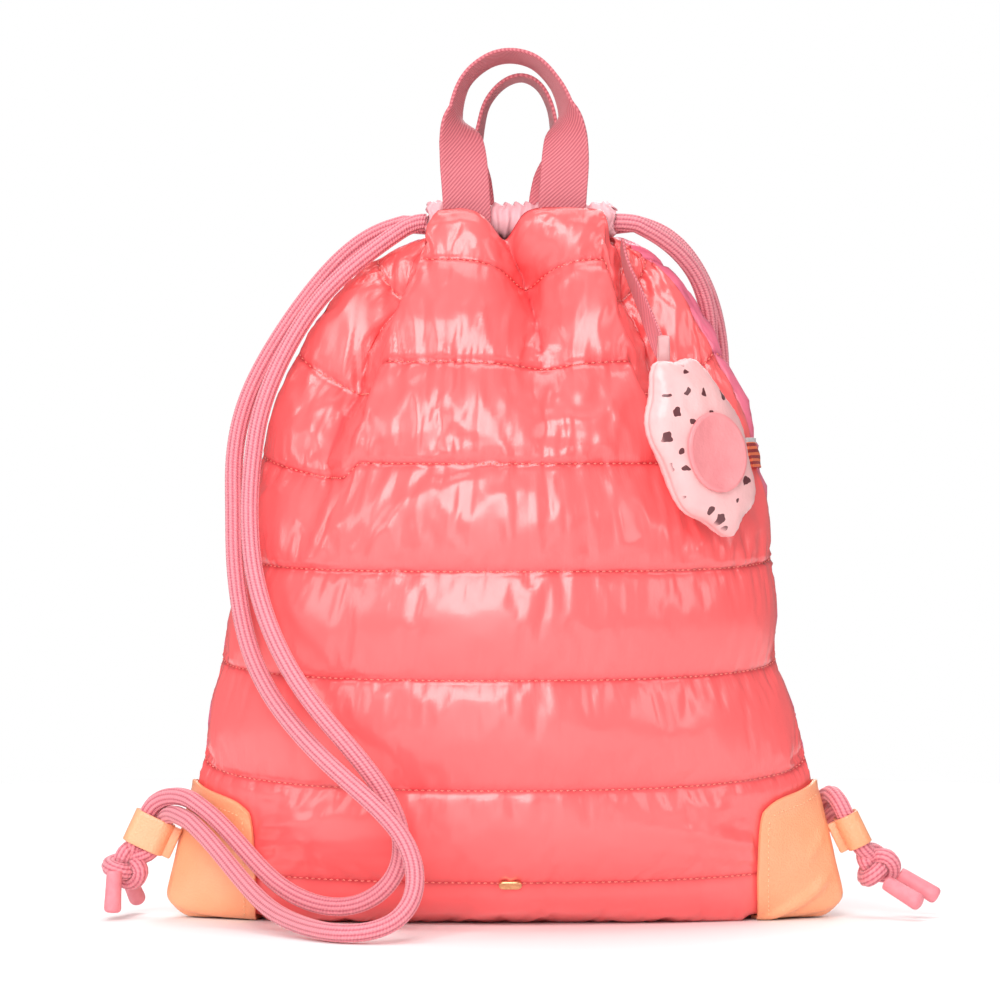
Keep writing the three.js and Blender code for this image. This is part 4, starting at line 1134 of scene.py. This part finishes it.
def printed_satin(name, dark, light, fleck):
    material = new_material(name, light, 0.4, Coat_Weight=0.2, Coat_Roughness=0.25)
    cut = add_node(material, "TexCoord").outputs["UV"]
    wander = add_node(material, "TexNoise", {"Vector": cut, "Scale": 9.0, "Detail": 1.0})
    bent = add_node(material, "Mix", {"Factor": 0.12}, data_type="VECTOR")
    material.node_tree.links.new(cut, bent.inputs[4])
    material.node_tree.links.new(wander.outputs["Color"], bent.inputs[5])
    spots = add_node(material, "TexVoronoi", {"Vector": bent.outputs[1], "Scale": 6.5, "Randomness": 0.9})
    size = add_node(material, "TexNoise", {"Vector": cut, "Scale": 5.0, "Detail": 1.0})
    edge = add_node(material, "Math", {0: size.outputs["Fac"], 1: 0.46}, operation="MULTIPLY")
    inside = add_node(material, "Math", {0: spots.outputs["Distance"], 1: edge.outputs[0]}, operation="LESS_THAN")
    facing = add_node(material, "Attribute", attribute_name="print").outputs["Fac"]
    shown = add_node(material, "Math", {0: inside.outputs[0], 1: facing}, operation="MULTIPLY")
    room = add_node(material, "TexCoord").outputs["Object"]
    cloudy = add_node(material, "TexNoise", {"Vector": room, "Scale": 60.0, "Detail": 3.0})
    cloth = two_tone(material, cloudy.outputs["Fac"], dark, light)
    printed = add_node(material, "Mix", {"Factor": shown.outputs[0]}, data_type="RGBA")
    material.node_tree.links.new(cloth.outputs[2], printed.inputs[6])
    printed.inputs[7].default_value = (*fleck, 1)
    to_shader(material, "Base Color", printed.outputs[2])
    crinkle = add_node(material, "TexNoise", {"Vector": room, "Scale": 170.0, "Detail": 4.0})
    bumped(material, crinkle.outputs["Fac"], 0.001, 0.5)
    return material


satin = printed_satin("printed_satin", srgb(228, 164, 166), srgb(242, 190, 188), srgb(92, 40, 46))


def padded_pouch():
    bm, u, v = flat_grid(140, 48)
    angle = 2 * math.pi * u
    slant = math.pi * (v - 0.5) * 0.985
    lobes = 1 + CHARM_LOBE_DEPTH * np.cos(CHARM_LOBES * angle)
    shrink = np.cos(slant) ** 0.62
    height = CHARM_THICK / 2 * np.sin(slant) * (1 - 0.1 * np.cos(CHARM_LOBES * angle) * np.cos(slant))
    seam = 1 - 0.035 * np.exp(-((slant / 0.1) ** 2))
    gather = 0.006 * np.sin(angle * 46 + 2 * np.sin(angle * 5)) * np.exp(-((np.abs(slant) - 0.35) / 0.22) ** 2)
    across = CHARM_WIDTH / 2 * np.cos(angle) * lobes * shrink * (seam + gather)
    along = CHARM_LENGTH / 2 * np.sin(angle) * lobes * shrink * (seam + gather)
    dent = np.array([noise.noise((a * 0.05, b * 0.05, c * 0.08)) for a, b, c in zip(across, along, height)])
    points = np.stack([across, along, height + 1.2 * dent * np.cos(slant)], axis=1)
    move_to(bm, points * MM)
    uv = bm.loops.layers.uv.active
    for face in bm.faces:
        for loop in face.loops:
            loop[uv].uv = (loop.vert.co.x / (CHARM_WIDTH * MM), loop.vert.co.y / (CHARM_WIDTH * MM))
    bmesh.ops.remove_doubles(bm, verts=bm.verts, dist=1e-6)
    bmesh.ops.holes_fill(bm, edges=[edge for edge in bm.edges if edge.is_boundary], sides=0)
    bmesh.ops.recalc_face_normals(bm, faces=bm.faces)
    printed = [float(smoothstep(4.0, 7.0, vertex.co.z / MM)) for vertex in bm.verts]
    bmesh.ops.transform(bm, matrix=CHARM_PLACE, verts=bm.verts)
    piece = finish_piece("charm_pouch", bm, satin, ["charm_pouch"])
    piece.data.attributes.new("print", "FLOAT", "POINT").data.foreach_set("value", printed)
    return piece


charm_pouch = padded_pouch()

# %% Oval patch and tape loop
plain_patch = thin_cloth("plain_patch", srgb(222, 124, 130), srgb(240, 152, 154))
pale_tape = thin_cloth("pale_tape", srgb(186, 128, 130), srgb(222, 168, 168))


def oval_patch():
    bm = bmesh.new()
    bmesh.ops.create_circle(bm, cap_ends=True, segments=64, radius=0.5)
    face = bm.faces[:]
    top = bmesh.ops.extrude_face_region(bm, geom=face)
    raised = [item for item in top["geom"] if isinstance(item, bmesh.types.BMVert)]
    bmesh.ops.translate(bm, verts=raised, vec=(0, 0, 1))
    bmesh.ops.scale(bm, verts=bm.verts, vec=(36 * MM, 42 * MM, 1.6 * MM))
    lid = [face for face in bm.faces if len(face.verts) > 4 and face.calc_center_median().z > 0.0012]
    bmesh.ops.inset_region(bm, faces=lid, thickness=0.0016, depth=0.0006)
    bmesh.ops.inset_region(bm, faces=lid, thickness=0.0012, depth=-0.0005)
    rims = [edge for edge in bm.edges if len(edge.link_faces) == 2 and edge.calc_face_angle() > 0.6]
    bmesh.ops.bevel(bm, geom=rims, offset=0.0003, affect="EDGES", segments=2, profile=0.5, material=-1)
    bmesh.ops.recalc_face_normals(bm, faces=bm.faces)
    lift = Matrix.Translation((0, -4 * MM, (CHARM_THICK / 2 - 0.2) * MM))
    bmesh.ops.transform(bm, matrix=CHARM_PLACE @ lift, verts=bm.verts)
    return finish_piece("charm_patch", bm, plain_patch, ["charm_patch"])


def tape_ring():
    bm = bmesh.new()
    ring = bmesh.ops.create_circle(bm, segments=12, radius=1)["verts"]
    bmesh.ops.transform(bm, matrix=Matrix.Diagonal((0.7 * MM, 3.0 * MM, 1, 1)), verts=ring)
    bmesh.ops.rotate(bm, verts=ring, matrix=Matrix.Rotation(math.pi / 2, 3, "X"))
    bmesh.ops.translate(bm, verts=ring, vec=(9.6 * MM, 0, 0))
    bmesh.ops.spin(bm, geom=bm.edges[:], angle=2 * math.pi, steps=48, axis=(0, 0, 1), cent=(0, 0, 0), use_merge=True)
    bmesh.ops.recalc_face_normals(bm, faces=bm.faces)
    place = Matrix.Translation(Vector((81, -74.1, 295)) * MM) @ Matrix.Rotation(math.pi / 2, 4, "Y")
    bmesh.ops.transform(bm, matrix=place, verts=bm.verts)
    return finish_piece("charm_tape", bm, pale_tape, ["charm_tape"])


charm_patch = oval_patch()
charm_tape = tape_ring()

# %% [markdown]
# ## Small parts on the front
# A striped tab is sewn into the right seam and a pill of metal marks the lowest sewn line. Both lie on the
# puffed cloth, so each is made flat and then turned to the panel where it sits.


# %% Tab and stud
def front_frame(at, row, lift):
    """Where a small flat part sits on the front panel: its x runs across and its z points out."""
    at, row = np.array([at]), np.array([row], dtype=float)
    place = panel_surface(-1, at, row, FRONT_PUFF, lift)[0]
    out = panel_normals(-1, at, row)[0]
    up = np.array([0, 0, 1.0]) - out * out[2]
    up /= np.linalg.norm(up)
    turn = Matrix([np.cross(up, out), up, out]).transposed().to_4x4()
    return Matrix.Translation(Vector(place)) @ turn


def striped_tape(name, dark, stripe, hem):
    material = new_material(name, dark, 0.6)
    cut = add_node(material, "TexCoord").outputs["UV"]
    parts = add_node(material, "SeparateXYZ", {0: cut})
    beat = add_node(material, "Math", {0: parts.outputs["Y"], 1: 5 * 2 * math.pi}, operation="MULTIPLY")
    wave = add_node(material, "Math", {0: beat.outputs[0]}, operation="SINE")
    line = add_node(material, "Math", {0: wave.outputs[0], 1: 0.1}, operation="GREATER_THAN")
    bands = two_tone(material, line.outputs[0], dark, stripe)
    rim = add_node(material, "Math", {0: parts.outputs["Y"], 1: 0.84}, operation="GREATER_THAN")
    mix = add_node(material, "Mix", {"Factor": rim.outputs[0]}, data_type="RGBA")
    material.node_tree.links.new(bands.outputs[2], mix.inputs[6])
    mix.inputs[7].default_value = (*hem, 1)
    to_shader(material, "Base Color", mix.outputs[2])
    weave = add_node(material, "TexNoise", {"Vector": cut, "Scale": 90.0, "Detail": 2.0})
    bumped(material, weave.outputs["Fac"], 0.0004, 0.6)
    return material


def folded_tab():
    bm, u, v = flat_grid(22, 16)
    lift = 1.1 * np.sin(math.pi * u) ** 2 + 0.4 * np.sin(9 * v + 4 * u)
    move_to(bm, np.stack([(u - 0.5) * 22, (v - 0.5) * 16, lift - 1.0], axis=1) * MM)
    bmesh.ops.transform(bm, matrix=front_frame(0.91, 6.05, 2.8), verts=bm.verts)
    tape = striped_tape("striped_tape", srgb(150, 34, 40), srgb(232, 112, 70), srgb(196, 190, 190))
    piece = finish_piece("side_tab", bm, tape, ["side_tab"])
    thicken(piece, 0.0018)
    round_edges(piece, 0.0004)
    return piece


def metal_stud():
    bm = bmesh.new()
    bmesh.ops.create_circle(bm, cap_ends=True, segments=48, radius=2.5 * MM)
    for vertex in bm.verts:
        vertex.co.x += math.copysign(3.5 * MM, vertex.co.x)
    top = bmesh.ops.extrude_face_region(bm, geom=bm.faces[:])
    raised = [item for item in top["geom"] if isinstance(item, bmesh.types.BMVert)]
    bmesh.ops.translate(bm, verts=raised, vec=(0, 0, 2.2 * MM))
    rims = [edge for edge in bm.edges if len(edge.link_faces) == 2 and edge.calc_face_angle() > 1.0]
    bmesh.ops.bevel(bm, geom=rims, offset=0.0007, affect="EDGES", segments=4, profile=0.5, material=-1)
    lid = max(bm.faces, key=lambda face: face.calc_center_median().z * len(face.verts))
    bmesh.ops.inset_region(bm, faces=[lid], thickness=0.0004, depth=-0.0003)
    bmesh.ops.recalc_face_normals(bm, faces=bm.faces)
    bmesh.ops.translate(bm, verts=bm.verts, vec=(0, 0, -1.1 * MM))
    bmesh.ops.transform(bm, matrix=front_frame(0.01, 2, 1.8), verts=bm.verts)
    gold = new_material("pale_gold", srgb(226, 190, 140), 0.28, Metallic=0.9)
    room = add_node(gold, "TexCoord").outputs["Object"]
    brushed = add_node(gold, "TexNoise", {"Vector": room, "Scale": 900.0, "Detail": 2.0})
    bumped(gold, brushed.outputs["Fac"], 0.0002, 0.4)
    two_tone(gold, brushed.outputs["Fac"], srgb(206, 160, 108), srgb(238, 204, 156))
    return finish_piece("front_stud", bm, gold, ["front_stud"])


side_tab = folded_tab()
front_stud = metal_stud()
